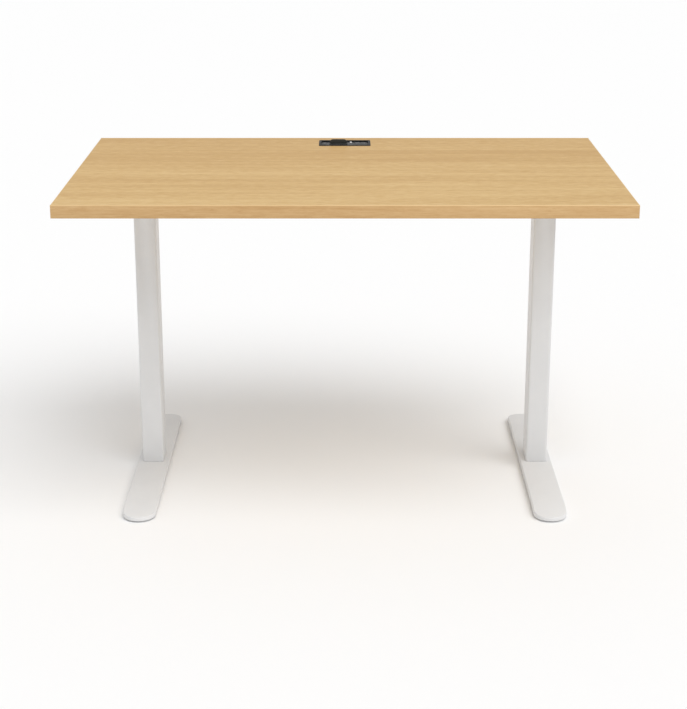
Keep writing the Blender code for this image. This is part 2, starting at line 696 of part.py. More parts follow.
def build_screw(name, under, parent, x, y):
    """Pan-head wood screw, driven upwards, its head against the height given."""
    head = SCREW_HEAD_HEIGHT
    seat = under - GAP
    tip = seat + SCREW_LENGTH
    cone = 0.003
    profile = [
        (0.0, tip), (SCREW_RADIUS * 0.4, tip - 0.0006), (SCREW_RADIUS, tip - cone), (SCREW_RADIUS, seat),
        (SCREW_HEAD_RADIUS, seat), (SCREW_HEAD_RADIUS, seat - head * 0.4),
        (SCREW_HEAD_RADIUS * 0.7, seat - head), (0.0, seat - head),
    ]
    screw = turned(name, profile, steps=8)
    return as_part(screw, "zinc_steel", parent, (x, y, 0.0))


def build_leg(side, x):
    """One telescopic T-leg, in the frame of its column."""
    leg = frame_empty(side + "_leg_frame", (x, COLUMN_SETBACK, 0.0))
    build_foot(leg, side)
    for end, end_name in ((-1, "front"), (1, "rear")):
        build_glide(leg, side, end, end_name)
        build_foot_bolt(leg, side, end, end_name)
    build_base_plate(leg, side)
    build_outer_tube(leg, side)
    build_guide_collar(leg, side)
    build_nut_tube(leg, side)
    build_spindle_nut(leg, side)
    build_spindle(leg, side)
    build_inner_tube(leg, side)
    build_lower_slider(leg, side)
    build_gearbox(leg, side)
    build_motor(leg, side)
    build_top_bracket(leg, side)
    for number, (screw_x, screw_y) in enumerate(bracket_screw_places(), start=1):
        build_screw(side + "_bracket_screw_" + str(number), BRACKET_UNDER, leg, screw_x, screw_y)


# ---- worktop ----

def screw_places_under_worktop():
    """Every screw that is driven up into the worktop."""
    places = []
    for leg_x in (-LEG_SPACING / 2, LEG_SPACING / 2):
        places += [(leg_x + x, COLUMN_SETBACK + y) for x, y in bracket_screw_places()]
    places += box_screw_places()
    places += switch_screw_places()
    return places


def worktop_outline(inset):
    """The worktop's outline, drawn in by an inset."""
    return rectangle(TOP_WIDTH - 2 * inset, TOP_DEPTH - 2 * inset)


def build_worktop():
    """Core board, laminate on both faces, and a band round the edge."""
    outline = worktop_outline(EDGE_BAND + GAP)
    cutout = rectangle(CUTOUT[0] + 2 * GAP, CUTOUT[1] + 2 * GAP, (0.0, MODULE_Y))
    core_bottom = WORKTOP_BOTTOM + LAMINATE + GAP
    core_top = WORKTOP_TOP - LAMINATE - GAP
    core = flat("worktop_core", [outline, cutout], core_bottom, core_top)
    for number, (x, y) in enumerate(screw_places_under_worktop(), start=1):
        cut(core, screw_hole("pilot_" + str(number), 2 * PILOT_DEPTH, (x, y, WORKTOP_BOTTOM)))
    as_part(core, "wood_core")

    rebate = (MODULE_WIDTH + 2 * GAP, MODULE_DEPTH + 2 * GAP)
    rim_seat = rounded_rectangle(rebate[0], rebate[1], RIM_CORNER + GAP, 3, (0.0, MODULE_Y))
    top_sheet = flat("worktop_laminate", [outline, rim_seat], WORKTOP_TOP - LAMINATE, WORKTOP_TOP)
    as_part(top_sheet, "wood_laminate")

    holes = [circle(SCREW_RADIUS + 2 * GAP, 8, place) for place in screw_places_under_worktop()]
    backing = flat("worktop_backing", [outline, cutout] + holes, WORKTOP_BOTTOM, WORKTOP_BOTTOM + LAMINATE)
    as_part(backing, "wood_laminate")

    band_loops = [worktop_outline(0.0), worktop_outline(EDGE_BAND)]
    band = flat("worktop_edge_band", band_loops, WORKTOP_BOTTOM, WORKTOP_TOP)
    as_part(band, "wood_laminate")


# ---- control box ----

def box_screw_places():
    """One screw through each ear of the control box."""
    reach = BOX_LENGTH / 2 + BOX_EAR / 2
    return [(-reach, BOX_Y), (reach, BOX_Y)]


def build_control_box():
    """A plate with ears against the worktop, and a moulded cover with the sockets in its rear wall."""
    top = WORKTOP_BOTTOM - GAP
    seat = top - BOX_BASE
    centre = (0.0, BOX_Y)
    outline = rounded_rectangle(BOX_LENGTH, BOX_DEPTH, BOX_CORNER, 3, centre)
    base = flat("control_box_base", [outline], seat, top)
    ears = rounded_rectangle(BOX_LENGTH + 2 * BOX_EAR, BOX_DEPTH * 0.3, 0.006, 3, centre)
    join(base, flat("box_ears", [ears], seat, top))
    for x, y in box_screw_places():
        cut(base, screw_hole("box_ear_hole", 4 * BOX_BASE, (x, y, top)))
    as_part(base, "black_plastic")

    bottom = top - BOX_HEIGHT
    cover = flat("control_box_cover", [outline], bottom, seat - GAP)
    round_edges(cover, 0.0030, 2)
    hollow = (BOX_LENGTH - 2 * BOX_WALL, BOX_DEPTH - 2 * BOX_WALL)
    inside = rounded_rectangle(hollow[0], hollow[1], BOX_CORNER - BOX_WALL, 3, centre)
    cut(cover, flat("box_hollow", [inside], bottom + BOX_WALL, seat + BOX_HEIGHT))
    rear = BOX_Y + BOX_DEPTH / 2
    level = (bottom + seat) / 2
    for name, x, width, height, depth in sockets():
        boss = (width + 2 * BOX_WALL, depth + BOX_WALL, height + 2 * BOX_WALL)
        join(cover, block(name + "_boss", boss, (x, rear - BOX_WALL / 2 - boss[1] / 2, level)))
    for name, x, width, height, depth in sockets():
        cut(cover, block(name + "_pocket", (width, 2 * depth, height), (x, rear, level)))
    as_part(cover, "black_plastic")
    for number, (x, y) in enumerate(box_screw_places(), start=1):
        build_screw("control_box_screw_" + str(number), seat, None, x, y)


def sockets():
    """Name, place, width, height and depth of each socket in the control box."""
    rows = [("mains_inlet", INLET_X, INLET_WIDTH, INLET_HEIGHT, INLET_DEPTH)]
    for number, x in enumerate(PLUG_SOCKET_X, start=1):
        name = "plug_socket_" + str(number)
        rows.append((name, x, PLUG_SOCKET_WIDTH, PLUG_SOCKET_HEIGHT, PLUG_SOCKET_DEPTH))
    return rows


# ---- hand switch ----

def switch_y():
    return -TOP_DEPTH / 2 + SWITCH_SETBACK + SWITCH_DEPTH / 2


def switch_screw_places():
    """One screw through each ear of the hand switch."""
    reach = SWITCH_LENGTH / 2 + SWITCH_EAR / 2
    return [(SWITCH_X - reach, switch_y()), (SWITCH_X + reach, switch_y())]


def build_hand_switch():
    """Low housing with two buttons in its front wall."""
    top = WORKTOP_BOTTOM - GAP
    bottom = top - SWITCH_HEIGHT
    centre = (SWITCH_X, switch_y())
    front = centre[1] - SWITCH_DEPTH / 2
    outline = rounded_rectangle(SWITCH_LENGTH, SWITCH_DEPTH, SWITCH_CORNER, 3, centre)
    housing = flat("hand_switch_housing", [outline], bottom, top)
    round_edges(housing, 0.0014, 1)
    ears = rounded_rectangle(SWITCH_LENGTH + 2 * SWITCH_EAR, SWITCH_DEPTH * 0.45, 0.004, 3, centre)
    join(housing, flat("switch_ears", [ears], top - SWITCH_EAR_HEIGHT, top))
    hollow = (SWITCH_LENGTH - 2 * SWITCH_WALL, SWITCH_DEPTH - 2 * SWITCH_WALL)
    inside = rounded_rectangle(hollow[0], hollow[1], SWITCH_CORNER - SWITCH_WALL, 3, centre)
    cut(housing, flat("switch_hollow", [inside], bottom + SWITCH_WALL, top + SWITCH_HEIGHT))
    level = bottom + SWITCH_WALL + (SWITCH_HEIGHT - SWITCH_WALL) / 2
    for x, y in switch_screw_places():
        cut(housing, screw_hole("switch_ear_hole", 4 * SWITCH_EAR_HEIGHT, (x, y, top)))
    for end in (-1, 1):
        window = (BUTTON_WIDTH + 2 * GAP, 4 * SWITCH_WALL, BUTTON_HEIGHT + 2 * GAP)
        place = (SWITCH_X + end * BUTTON_SPACING / 2, front, level)
        cut(housing, block("button_window", window, place))
    as_part(housing, "black_plastic")
    for number, (x, y) in enumerate(switch_screw_places(), start=1):
        build_screw("hand_switch_screw_" + str(number), top - SWITCH_EAR_HEIGHT, None, x, y)

    for name, end in (("down_button", -1), ("up_button", 1)):
        rear = SWITCH_WALL + GAP + BUTTON_FLANGE
        depth = BUTTON_PROUD + rear
        button = block(name, (BUTTON_WIDTH, depth, BUTTON_HEIGHT), (0.0, depth / 2 - BUTTON_PROUD, 0.0))
        round_edges(button, 0.0006, 2)
        flange = (BUTTON_WIDTH + 0.003, BUTTON_FLANGE, BUTTON_HEIGHT + 0.002)
        join(button, block(name + "_flange", flange, (0.0, rear - BUTTON_FLANGE / 2, 0.0)))
        as_part(button, "gloss_black", None, (SWITCH_X + end * BUTTON_SPACING / 2, front, level))


# ---- module let into the worktop ----

def build_module_rim():
    """Low rim on the core board, proud of the laminate, with a skirt that lines the cut-out."""
    centre = (0.0, MODULE_Y)
    top = WORKTOP_TOP + RIM_RISE
    outline = rounded_rectangle(MODULE_WIDTH, MODULE_DEPTH, RIM_CORNER, 3, centre)
    rim = flat("module_rim", [outline], WORKTOP_TOP - LAMINATE, top)
    round_edges(rim, RIM_RISE * 0.35, 2)
    skirt = rectangle(CUTOUT[0], CUTOUT[1], centre)
    join(rim, flat("rim_skirt", [skirt], WORKTOP_TOP - RIM_SKIRT, WORKTOP_TOP + RIM_RISE / 2))
    opening = rectangle(CUTOUT[0] - 2 * RIM_WALL, CUTOUT[1] - 2 * RIM_WALL, centre)
    cut(rim, flat("rim_opening", [opening], WORKTOP_TOP - 2 * RIM_SKIRT, top + RIM_RISE))
    return as_part(rim, "black_plastic")


def module_inside():
    """Size of what stands inside the rim."""
    shrink = 2 * (RIM_WALL + GAP)
    return (CUTOUT[0] - shrink, CUTOUT[1] - shrink)


def slot_centre():
    return (SLOT_X, MODULE_FRONT + SLOT_FRONT + SLOT_DEPTH / 2)


def usb_a_centre():
    """Against the right wall of the housing."""
    inner_half = module_inside()[0] / 2 - HOUSING_WALL
    return (inner_half - 2 * GAP - USB_A_FLANGE - USB_A_BLOCK[0] / 2, MODULE_REAR - USB_A_FROM_REAR)


def usb_c_centre():
    """Near the left wall of the housing."""
    inner_half = module_inside()[0] / 2 - HOUSING_WALL
    return (USB_C_INSET - inner_half, MODULE_REAR - USB_C_FROM_REAR)


def power_centre():
    """Left of the USB-A block."""
    block_left = usb_a_centre()[0] - USB_A_BLOCK[0] / 2 - USB_A_FLANGE
    return (block_left - POWER_TO_USB_A, MODULE_REAR - POWER_FROM_REAR)


def build_module_faceplate():
    """Recessed panel with windows for the ports, the button and the cable slot, and the lid's lugs."""
    size = module_inside()
    usb_a = (USB_A_BLOCK[0] + 2 * GAP, USB_A_BLOCK[1] + 2 * GAP)
    usb_c = (USB_C_SHELL[0] + 2 * GAP, USB_C_SHELL[1] + 2 * GAP)
    loops = [
        rectangle(size[0], size[1], (0.0, MODULE_Y)),
        rectangle(SLOT_WIDTH, SLOT_DEPTH, slot_centre()),
        rectangle(usb_a[0], usb_a[1], usb_a_centre()),
        rounded_rectangle(usb_c[0], usb_c[1], USB_C_SHELL[1] / 2, 3, usb_c_centre()),
        circle(POWER_RADIUS + GAP, 20, power_centre()),
    ]
    face = flat("module_faceplate", loops, FACE_UNDER, FACE_TOP)
    axis = lid_axis()
    lug_height = axis[2] + HINGE_RADIUS - FACE_TOP + FACE_THICKNESS / 2
    for end in (-1, 1):
        x = axis[0] + end * (LID_WIDTH / 2 - LUG_WIDTH / 2)
        lug = (LUG_WIDTH, 2 * HINGE_RADIUS, lug_height)
        join(face, block("lid_lug", lug, (x, axis[1], axis[2] + HINGE_RADIUS - lug_height / 2)))
    cut(face, rod("lug_hole", PIN_RADIUS + GAP, LID_WIDTH * 1.2, axis, "X", 12))
    return as_part(face, "gloss_black")


def lid_axis():
    """Middle of the lid's hinge line, just in front of the cable slot."""
    x, y = slot_centre()
    return (x, y - SLOT_DEPTH / 2 - HINGE_RADIUS - GAP, FACE_TOP + HINGE_RADIUS + GAP)


def build_cable_lid():
    """Arched lid that stands open on a hinge at its lower edge."""
    barrel_length = LID_WIDTH - 2 * (LUG_WIDTH + GAP)
    barrel_end = barrel_length / 2
    pin_end = LID_WIDTH / 2
    profile = [
        (0.0, pin_end), (PIN_RADIUS, pin_end), (PIN_RADIUS, barrel_end), (HINGE_RADIUS, barrel_end),
        (HINGE_RADIUS, -barrel_end), (PIN_RADIUS, -barrel_end), (PIN_RADIUS, -pin_end), (0.0, -pin_end),
    ]
    lid = turned("module_cable_lid", profile, steps=12)
    lid.data.transform(Matrix.Rotation(math.pi / 2, 4, "Y"))
    lid.modifiers["Turn"].axis = "X"
    clear = 2 * HINGE_RADIUS
    half = LID_WIDTH / 2
    shoulders = arc((half - LID_SHOULDER, LID_HEIGHT - LID_SHOULDER), LID_SHOULDER, 0, 90, 6)
    mirrored = [(-x, y) for x, y in reversed(shoulders)]
    neck = barrel_length / 2 - GAP
    sloped = clear + GAP
    outline = [(neck, 0.0), (neck, clear), (half, sloped)] + shoulders + mirrored
    outline += [(-half, sloped), (-neck, clear), (-neck, 0.0)]
    leaf = flat("lid_leaf", [outline], -LID_THICKNESS / 2, LID_THICKNESS / 2)
    leaf.data.transform(Matrix.Rotation(math.pi / 2, 4, "X"))
    join(lid, leaf)
    return as_part(lid, "gloss_black", None, lid_axis())


def build_module_housing():
    """Open box under the faceplate, with a way out for cables under the slot and a supply jack."""
    size = module_inside()
    top = FACE_UNDER - GAP
    bottom = top - HOUSING_HEIGHT
    centre = (0.0, MODULE_Y)
    housing = flat("module_housing", [rectangle(size[0], size[1], centre)], bottom, top)
    inside = rectangle(size[0] - 2 * HOUSING_WALL, size[1] - 2 * HOUSING_WALL, centre)
    cut(housing, flat("housing_hollow", [inside], bottom + HOUSING_WALL, top + HOUSING_HEIGHT))
    way_out = rectangle(SLOT_WIDTH, SLOT_DEPTH, slot_centre())
    cut(housing, flat("housing_way_out", [way_out], bottom - HOUSING_WALL, bottom + 2 * HOUSING_WALL))
    jack_place = (size[0] / 2, MODULE_Y, bottom + HOUSING_HEIGHT * 0.25)
    cut(housing, rod("jack_hole", JACK_RADIUS, 6 * HOUSING_WALL, jack_place, "X"))
    return as_part(housing, "black_plastic")


def build_ports():
    """Block of two USB-A ports with tongues, and the steel shell of a USB-C port."""
    block_height = USB_A_DEPTH + 0.004
    centre = usb_a_centre()
    top = FACE_TOP
    ports = flat("module_usb_a_block", [rectangle(*USB_A_BLOCK, centre)], top - block_height, top)
    flange_top = FACE_UNDER - GAP
    grow = 2 * USB_A_FLANGE
    flange = flat("usb_a_flange", [rectangle(USB_A_BLOCK[0] + grow, USB_A_BLOCK[1] + grow, centre)],
                  flange_top - USB_A_FLANGE, flange_top)
    join(ports, flange)
    for end in (-1, 1):
        x = centre[0] + end * USB_A_PITCH / 2
        pocket = (USB_A_PORT[0], USB_A_PORT[1], 2 * USB_A_DEPTH)
        cut(ports, block("usb_a_pocket", pocket, (x, centre[1], top)))
        tongue = (USB_A_PORT[0] - 0.0012, 0.0018, USB_A_DEPTH)
        tongue_place = (x, centre[1] + 0.0008, top - 0.0012 - USB_A_DEPTH / 2)
        join(ports, block("usb_a_tongue", tongue, tongue_place))
    as_part(ports, "port_steel")

    place = usb_c_centre()
    outer = rounded_rectangle(USB_C_SHELL[0], USB_C_SHELL[1], USB_C_SHELL[1] / 2 - GAP, 3, place)
    hole = (USB_C_SHELL[0] - 2 * USB_C_WALL, USB_C_SHELL[1] - 2 * USB_C_WALL)
    inner = rounded_rectangle(hole[0], hole[1], hole[1] / 2 - GAP, 3, place)
    shell = flat("module_usb_c_port", [outer], top - USB_C_DEPTH - USB_C_WALL, top)
    cut(shell, flat("usb_c_pocket", [inner], top - USB_C_DEPTH, top + USB_C_DEPTH))
    as_part(shell, "port_steel")


def build_power_button():
    """Round white button, kept in by a flange under the faceplate."""
    top = POWER_PROUD
    under = -FACE_THICKNESS - GAP
    edge = 0.0005
    flange = POWER_RADIUS + 0.0012
    bottom = under - POWER_FLANGE
    profile = [
        (0.0, top), (POWER_RADIUS - edge, top), (POWER_RADIUS, top - edge), (POWER_RADIUS, under),
        (flange, under), (flange, bottom), (0.0, bottom),
    ]
    button = turned("module_power_button", profile)
    x, y = power_centre()
    return as_part(button, "white_button", None, (x, y, FACE_TOP))


def build_module():
    """All the pieces of the module."""
    build_module_rim()
    build_module_faceplate()
    build_cable_lid()
    build_module_housing()
    build_ports()
    build_power_button()


def main():
    build_leg("left", -LEG_SPACING / 2)
    build_leg("right", LEG_SPACING / 2)
    build_worktop()
    build_control_box()
    build_hand_switch()
    build_module()


main()
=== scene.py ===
"""Looks of a height adjustable standing desk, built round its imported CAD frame."""
import logging
import math
from contextlib import contextmanager
from dataclasses import dataclass
from enum import Enum
from typing import Callable, Iterator, Optional, Sequence

import bmesh
import bpy
from mathutils import Matrix, Vector


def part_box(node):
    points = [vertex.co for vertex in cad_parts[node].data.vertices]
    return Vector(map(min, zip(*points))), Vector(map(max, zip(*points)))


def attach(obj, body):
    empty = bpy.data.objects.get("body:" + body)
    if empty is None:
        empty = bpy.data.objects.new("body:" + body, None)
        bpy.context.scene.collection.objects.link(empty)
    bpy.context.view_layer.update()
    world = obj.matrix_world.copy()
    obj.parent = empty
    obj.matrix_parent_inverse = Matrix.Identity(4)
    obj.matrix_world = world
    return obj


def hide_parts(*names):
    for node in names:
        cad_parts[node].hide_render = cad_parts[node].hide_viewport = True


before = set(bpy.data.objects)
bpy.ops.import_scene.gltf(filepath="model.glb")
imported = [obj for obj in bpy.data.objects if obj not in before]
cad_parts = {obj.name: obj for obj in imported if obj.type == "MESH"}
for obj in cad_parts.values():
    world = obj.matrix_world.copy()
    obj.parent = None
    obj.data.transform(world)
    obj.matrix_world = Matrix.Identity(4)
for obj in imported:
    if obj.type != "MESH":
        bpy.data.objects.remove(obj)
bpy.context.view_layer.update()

LOG = logging.getLogger("standing_desk")
Point = tuple[float, float, float]
Colour = tuple[float, float, float]
Test = Callable[[Vector, Vector], bool]

CLEAR = 0.00025      # clearance between pieces that fit each other
NEAR = 1e-5          # how close counts as the same place


class Side(Enum):
    """The two legs."""

    LEFT = "left"
    RIGHT = "right"


class Axis(Enum):
    """Which way a turned piece points, as the turn that takes +Z there."""

    UP = Matrix.Identity(4)
    RIGHT = Matrix.Rotation(math.pi / 2, 4, "Y")
    LEFT = Matrix.Rotation(-math.pi / 2, 4, "Y")
    FRONT = Matrix.Rotation(math.pi / 2, 4, "X")
    REAR = Matrix.Rotation(-math.pi / 2, 4, "X")


class Slot(Enum):
    """Material slots of the record, named in the calls that hand over new pieces."""

    LAMINATE = "wood_laminate"
    POWDER = "white_powder_coat"
    NYLON = "white_nylon"
    ZINC = "zinc_steel"
    BRASS = "brass"
    BLACK = "black_plastic"
    GLOSS = "gloss_black"
    BUTTON = "white_button"
    PORT = "port_steel"


# ---- the bench: operators used as by hand ----

def only(thing: bpy.types.Object) -> None:
    """Select one object and make it active."""
    if bpy.context.object and bpy.context.object.mode != "OBJECT":
        bpy.ops.object.mode_set(mode="OBJECT")
    bpy.ops.object.select_all(action="DESELECT")
    thing.select_set(True)
    bpy.context.view_layer.objects.active = thing


@contextmanager
def editing(thing: bpy.types.Object) -> Iterator[None]:
    """Edit mode on one object for the length of a with block."""
    only(thing)
    bpy.ops.object.mode_set(mode="EDIT")
    try:
        yield
    finally:
        bpy.ops.object.mode_set(mode="OBJECT")


def pick_faces(thing: bpy.types.Object, test: Test) -> int:
    """Select faces by centre and normal, in edit mode.

    Args:
        thing: The object being edited.
        test: Says yes or no for a face's centre and normal.

    Returns:
        How many faces are selected.
    """
    bpy.ops.mesh.select_mode(type="FACE")
    bpy.ops.mesh.select_all(action="DESELECT")
    shape = bmesh.from_edit_mesh(thing.data)
    count = 0
    for face in shape.faces:
        if test(face.calc_center_median(), face.normal):
            face.select_set(True)
            count += 1
    bmesh.update_edit_mesh(thing.data)
    return count


def pick_edges(thing: bpy.types.Object, test: Test) -> int:
    """Select edges by middle and direction, in edit mode.

    Args:
        thing: The object being edited.
        test: Says yes or no for an edge's middle and its unit direction.

    Returns:
        How many edges are selected.
    """
    bpy.ops.mesh.select_mode(type="EDGE")
    bpy.ops.mesh.select_all(action="DESELECT")
    shape = bmesh.from_edit_mesh(thing.data)
    count = 0
    for edge in shape.edges:
        first, second = (vert.co for vert in edge.verts)
        if test((first + second) / 2, (second - first).normalized()):
            edge.select_set(True)
            count += 1
    bmesh.update_edit_mesh(thing.data)
    return count


def pick_points(thing: bpy.types.Object, test: Callable[[Vector], bool]) -> int:
    """Select vertices by place, in edit mode.

    Args:
        thing: The object being edited.
        test: Says yes or no for a vertex's place.

    Returns:
        How many vertices are selected.
    """
    bpy.ops.mesh.select_mode(type="VERT")
    bpy.ops.mesh.select_all(action="DESELECT")
    shape = bmesh.from_edit_mesh(thing.data)
    count = 0
    for vert in shape.verts:
        if test(vert.co):
            vert.select_set(True)
            count += 1
    bmesh.update_edit_mesh(thing.data)
    return count


def round_picked(width: float, segments: int) -> None:
    """Round the selected edges, in edit mode."""
    bpy.ops.mesh.bevel(offset=width, offset_type="OFFSET", segments=segments, affect="EDGES", profile=0.5)


def at_level(level: float) -> Test:
    """A test for what lies at a height."""
    return lambda middle, along: abs(middle.z - level) < NEAR


def apply(thing: bpy.types.Object, kind: str, **settings: object) -> bpy.types.Object:
    """Add a modifier and apply it.

    Args:
        thing: The object to change.
        kind: The modifier's type.
        settings: Its properties.

    Returns:
        The same object.
    """
    only(thing)
    modifier = thing.modifiers.new(kind.title(), kind)
    for name, value in settings.items():
        setattr(modifier, name, value)
    bpy.ops.object.modifier_apply(modifier=modifier.name)
    return thing


def soften(thing: bpy.types.Object, width: float, segments: int = 3, angle: float = 40.0) -> bpy.types.Object:
    """Round every edge sharper than an angle."""
    return apply(thing, "BEVEL", width=width, segments=segments, limit_method="ANGLE",
                 angle_limit=math.radians(angle), use_clamp_overlap=True, harden_normals=False)


def cut(thing: bpy.types.Object, *tools: bpy.types.Object) -> bpy.types.Object:
    """Cut tools out of a piece and throw the tools away."""
    for tool in tools:
        apply(thing, "BOOLEAN", operation="DIFFERENCE", solver="EXACT", object=tool)
        bpy.data.objects.remove(tool, do_unlink=True)
    return thing


def merge(thing: bpy.types.Object, *others: bpy.types.Object) -> bpy.types.Object:
    """Fuse other shapes into a piece."""
    for other in others:
        apply(thing, "BOOLEAN", operation="UNION", solver="EXACT", object=other)
        bpy.data.objects.remove(other, do_unlink=True)
    return thing


def box(name: str, low: Sequence[float], high: Sequence[float]) -> bpy.types.Object:
    """A block between two corners, its place in its mesh.

    Args:
        name: The object's name.
        low: Lowest corner, metres.
        high: Highest corner, metres.

    Returns:
        The new object.
    """
    if bpy.context.object and bpy.context.object.mode != "OBJECT":
        bpy.ops.object.mode_set(mode="OBJECT")
    bpy.ops.object.select_all(action="DESELECT")
    centre = [(a + b) / 2 for a, b in zip(low, high)]
    size = [b - a for a, b in zip(low, high)]
    bpy.ops.mesh.primitive_cube_add(size=1.0, location=centre, scale=size)
    thing = bpy.context.object
    thing.name = name
    thing.data.name = name
    bpy.ops.object.transform_apply(location=True, rotation=True, scale=True)
    return thing


def turned(name: str, profile: Sequence[tuple[float, float]], centre: Sequence[float] = (0.0, 0.0, 0.0),
           axis: Axis = Axis.UP, sides: int = 32) -> bpy.types.Object:
    """A turned solid, raised ring by ring from a filled circle.

    Args:
        name: The object's name.
        profile: (radius, height) of each ring, from the first end face to the last.
        centre: Where height 0 of its axis stands.
        axis: Which way its height points.
        sides: How many sides its rings have.

    Returns:
        The new object, its place in its mesh.
    """
    bpy.ops.object.select_all(action="DESELECT")
    radius, height = profile[0]
    bpy.ops.mesh.primitive_circle_add(vertices=sides, radius=radius, fill_type="NGON",
                                      location=(0, 0, height))
    thing = bpy.context.object
    thing.name = name
    thing.data.name = name
    bpy.ops.object.transform_apply(location=True, rotation=True, scale=True)
    with editing(thing):
        bpy.ops.mesh.select_mode(type="FACE")
        bpy.ops.mesh.select_all(action="SELECT")
        for new_radius, new_height in profile[1:]:
            bpy.ops.mesh.extrude_region_move(TRANSFORM_OT_translate={"value": (0, 0, new_height - height)})
            factor = new_radius / radius
            bpy.ops.transform.resize(value=(factor, factor, 1.0), center_override=(0, 0, new_height))
            radius, height = new_radius, new_height
        bpy.ops.mesh.select_all(action="SELECT")
        bpy.ops.mesh.normals_make_consistent(inside=False)
    thing.data.transform(Matrix.Translation(centre) @ axis.value)
    return thing


def upright(middle: Vector, along: Vector) -> bool:
    """Whether an edge runs along Z."""
    return abs(along.z) > 0.99


def slab(name: str, low: Sequence[float], high: Sequence[float], corner: float,
         segments: int = 8) -> bpy.types.Object:
    """A block with its upright edges rounded to a corner radius."""
    thing = box(name, low, high)
    with editing(thing):
        pick_edges(thing, upright)
        round_picked(corner, segments)
    return thing


def sleeve(name: str, low: Sequence[float], high: Sequence[float], corner: float, wall: float,
           edge: float = 0.0004) -> bpy.types.Object:
    """A rectangular tube along Z, drawn with round corners, its rims eased.

    Args:
        name: The object's name.
        low: Lowest corner of its outside.
        high: Highest corner of its outside.
        corner: Outer corner radius.
        wall: Wall thickness, taken inwards.
        edge: Easing of the rims.

    Returns:
        The new object.
    """
    thing = slab(name, low, high, corner)
    with editing(thing):
        pick_faces(thing, lambda centre, normal: abs(normal.z) > 0.9)
        bpy.ops.mesh.delete(type="FACE")
    apply(thing, "SOLIDIFY", thickness=wall, offset=-1.0, use_even_offset=True, use_rim=True)
    return soften(thing, edge, 2, 60.0)


def copy_of(thing: bpy.types.Object, name: str, move: Matrix) -> bpy.types.Object:
    """A copy with its own mesh, moved to its own place."""
    twin = thing.copy()
    twin.data = thing.data.copy()
    twin.name = name
    twin.data.name = name
    twin.data.transform(move)
    bpy.context.scene.collection.objects.link(twin)
    return twin


def shade(thing: bpy.types.Object, angle: float = 35.0) -> None:
    """Smooth shading with sharp edges kept past an angle."""
    only(thing)
    bpy.ops.object.shade_smooth_by_angle(angle=math.radians(angle))


def hand_over(thing: bpy.types.Object, body: str, slot: Slot, material: bpy.types.Material,
              *nodes: str) -> bpy.types.Object:
    """Dress a finished piece and fasten it to its body.

    Args:
        thing: The piece, at the origin, its place in its mesh.
        body: The CAD body that it rides on.
        slot: Not used.
        material: What it is made of.
        nodes: CAD nodes that it stands for.

    Returns:
        The same piece.
    """
    shade(thing)
    thing.data.materials.clear()
    thing.data.materials.append(material)
    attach(thing, body)
    if nodes:
        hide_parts(*nodes)
    LOG.info("%s on %s: %d faces, %s", thing.name, body, len(thing.data.polygons), material.name)
    return thing


def dress_node(node: str, material: bpy.types.Material) -> None:
    """Give a CAD node that stays a better material."""
    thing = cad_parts[node]
    for slot in thing.material_slots:
        slot.material = material
    LOG.info("%s kept, %s", node, material.name)


# ---- finishes ----

def srgb(red: int, green: int, blue: int) -> Colour:
    """A display colour, 0 to 255, as linear light."""
    def linear(value: float) -> float:
        share = value / 255
        return share / 12.92 if share <= 0.04045 else ((share + 0.055) / 1.055) ** 2.4
    return linear(red), linear(green), linear(blue)


class Tree:
    """Places nodes in one node tree and links them."""

    def __init__(self, tree: bpy.types.NodeTree) -> None:
        """Start on a tree."""
        self.tree = tree
        self.column = 0

    def add(self, kind: str, inputs: Optional[dict] = None, **settings: object) -> bpy.types.Node:
        """Add a node, set it and feed it.

        Args:
            kind: The node's type.
            inputs: Socket name or number to a value or to another node's output.
            settings: Properties of the node.

        Returns:
            The new node.
        """
        node = self.tree.nodes.new(kind)
        self.column += 1
        node.location = (180 * (self.column % 9), -220 * (self.column // 9))
        for name, value in settings.items():
            setattr(node, name, value)
        for key, value in (inputs or {}).items():
            if isinstance(value, bpy.types.NodeSocket):
                self.tree.links.new(value, node.inputs[key])
            else:
                node.inputs[key].default_value = value
        return node

    def math(self, operation: str, first: object, second: object = 0.0,
             third: object = 0.0) -> bpy.types.NodeSocket:
        """A Math node's result."""
        return self.add("ShaderNodeMath", {0: first, 1: second, 2: third}, operation=operation).outputs[0]

    def blend(self, factor: object, first: object, second: object, mode: str = "MIX") -> bpy.types.NodeSocket:
        """A colour mix's result."""
        node = self.add("ShaderNodeMix", data_type="RGBA", blend_type=mode)
        for key, value in ((0, factor), (6, first), (7, second)):
            if isinstance(value, bpy.types.NodeSocket):
                self.tree.links.new(value, node.inputs[key])
            elif key == 0:
                node.inputs[key].default_value = value
            else:
                node.inputs[key].default_value = (*value, 1.0)
        return node.outputs[2]

    def stretched(self, vector: object, scale: Point) -> bpy.types.NodeSocket:
        """A vector multiplied axis by axis."""
        node = self.add("ShaderNodeVectorMath", {0: vector, 1: scale}, operation="MULTIPLY")
        return node.outputs[0]

    def noise(self, vector: object, scale: object, detail: float = 3.0,
              roughness: float = 0.55) -> bpy.types.NodeSocket:
        """A noise texture's value."""
        node = self.add("ShaderNodeTexNoise", {"Vector": vector, "Scale": scale, "Detail": detail,
                                               "Roughness": roughness}, noise_dimensions="3D")
        return node.outputs["Fac"]

    def span(self, value: object, low: object, high: object, to_low: object = 0.0,
             to_high: object = 1.0) -> bpy.types.NodeSocket:
        """A value mapped from one range to another, clamped."""
        node = self.add("ShaderNodeMapRange", {"Value": value, "From Min": low, "From Max": high,
                                               "To Min": to_low, "To Max": to_high}, clamp=True)
        return node.outputs[0]


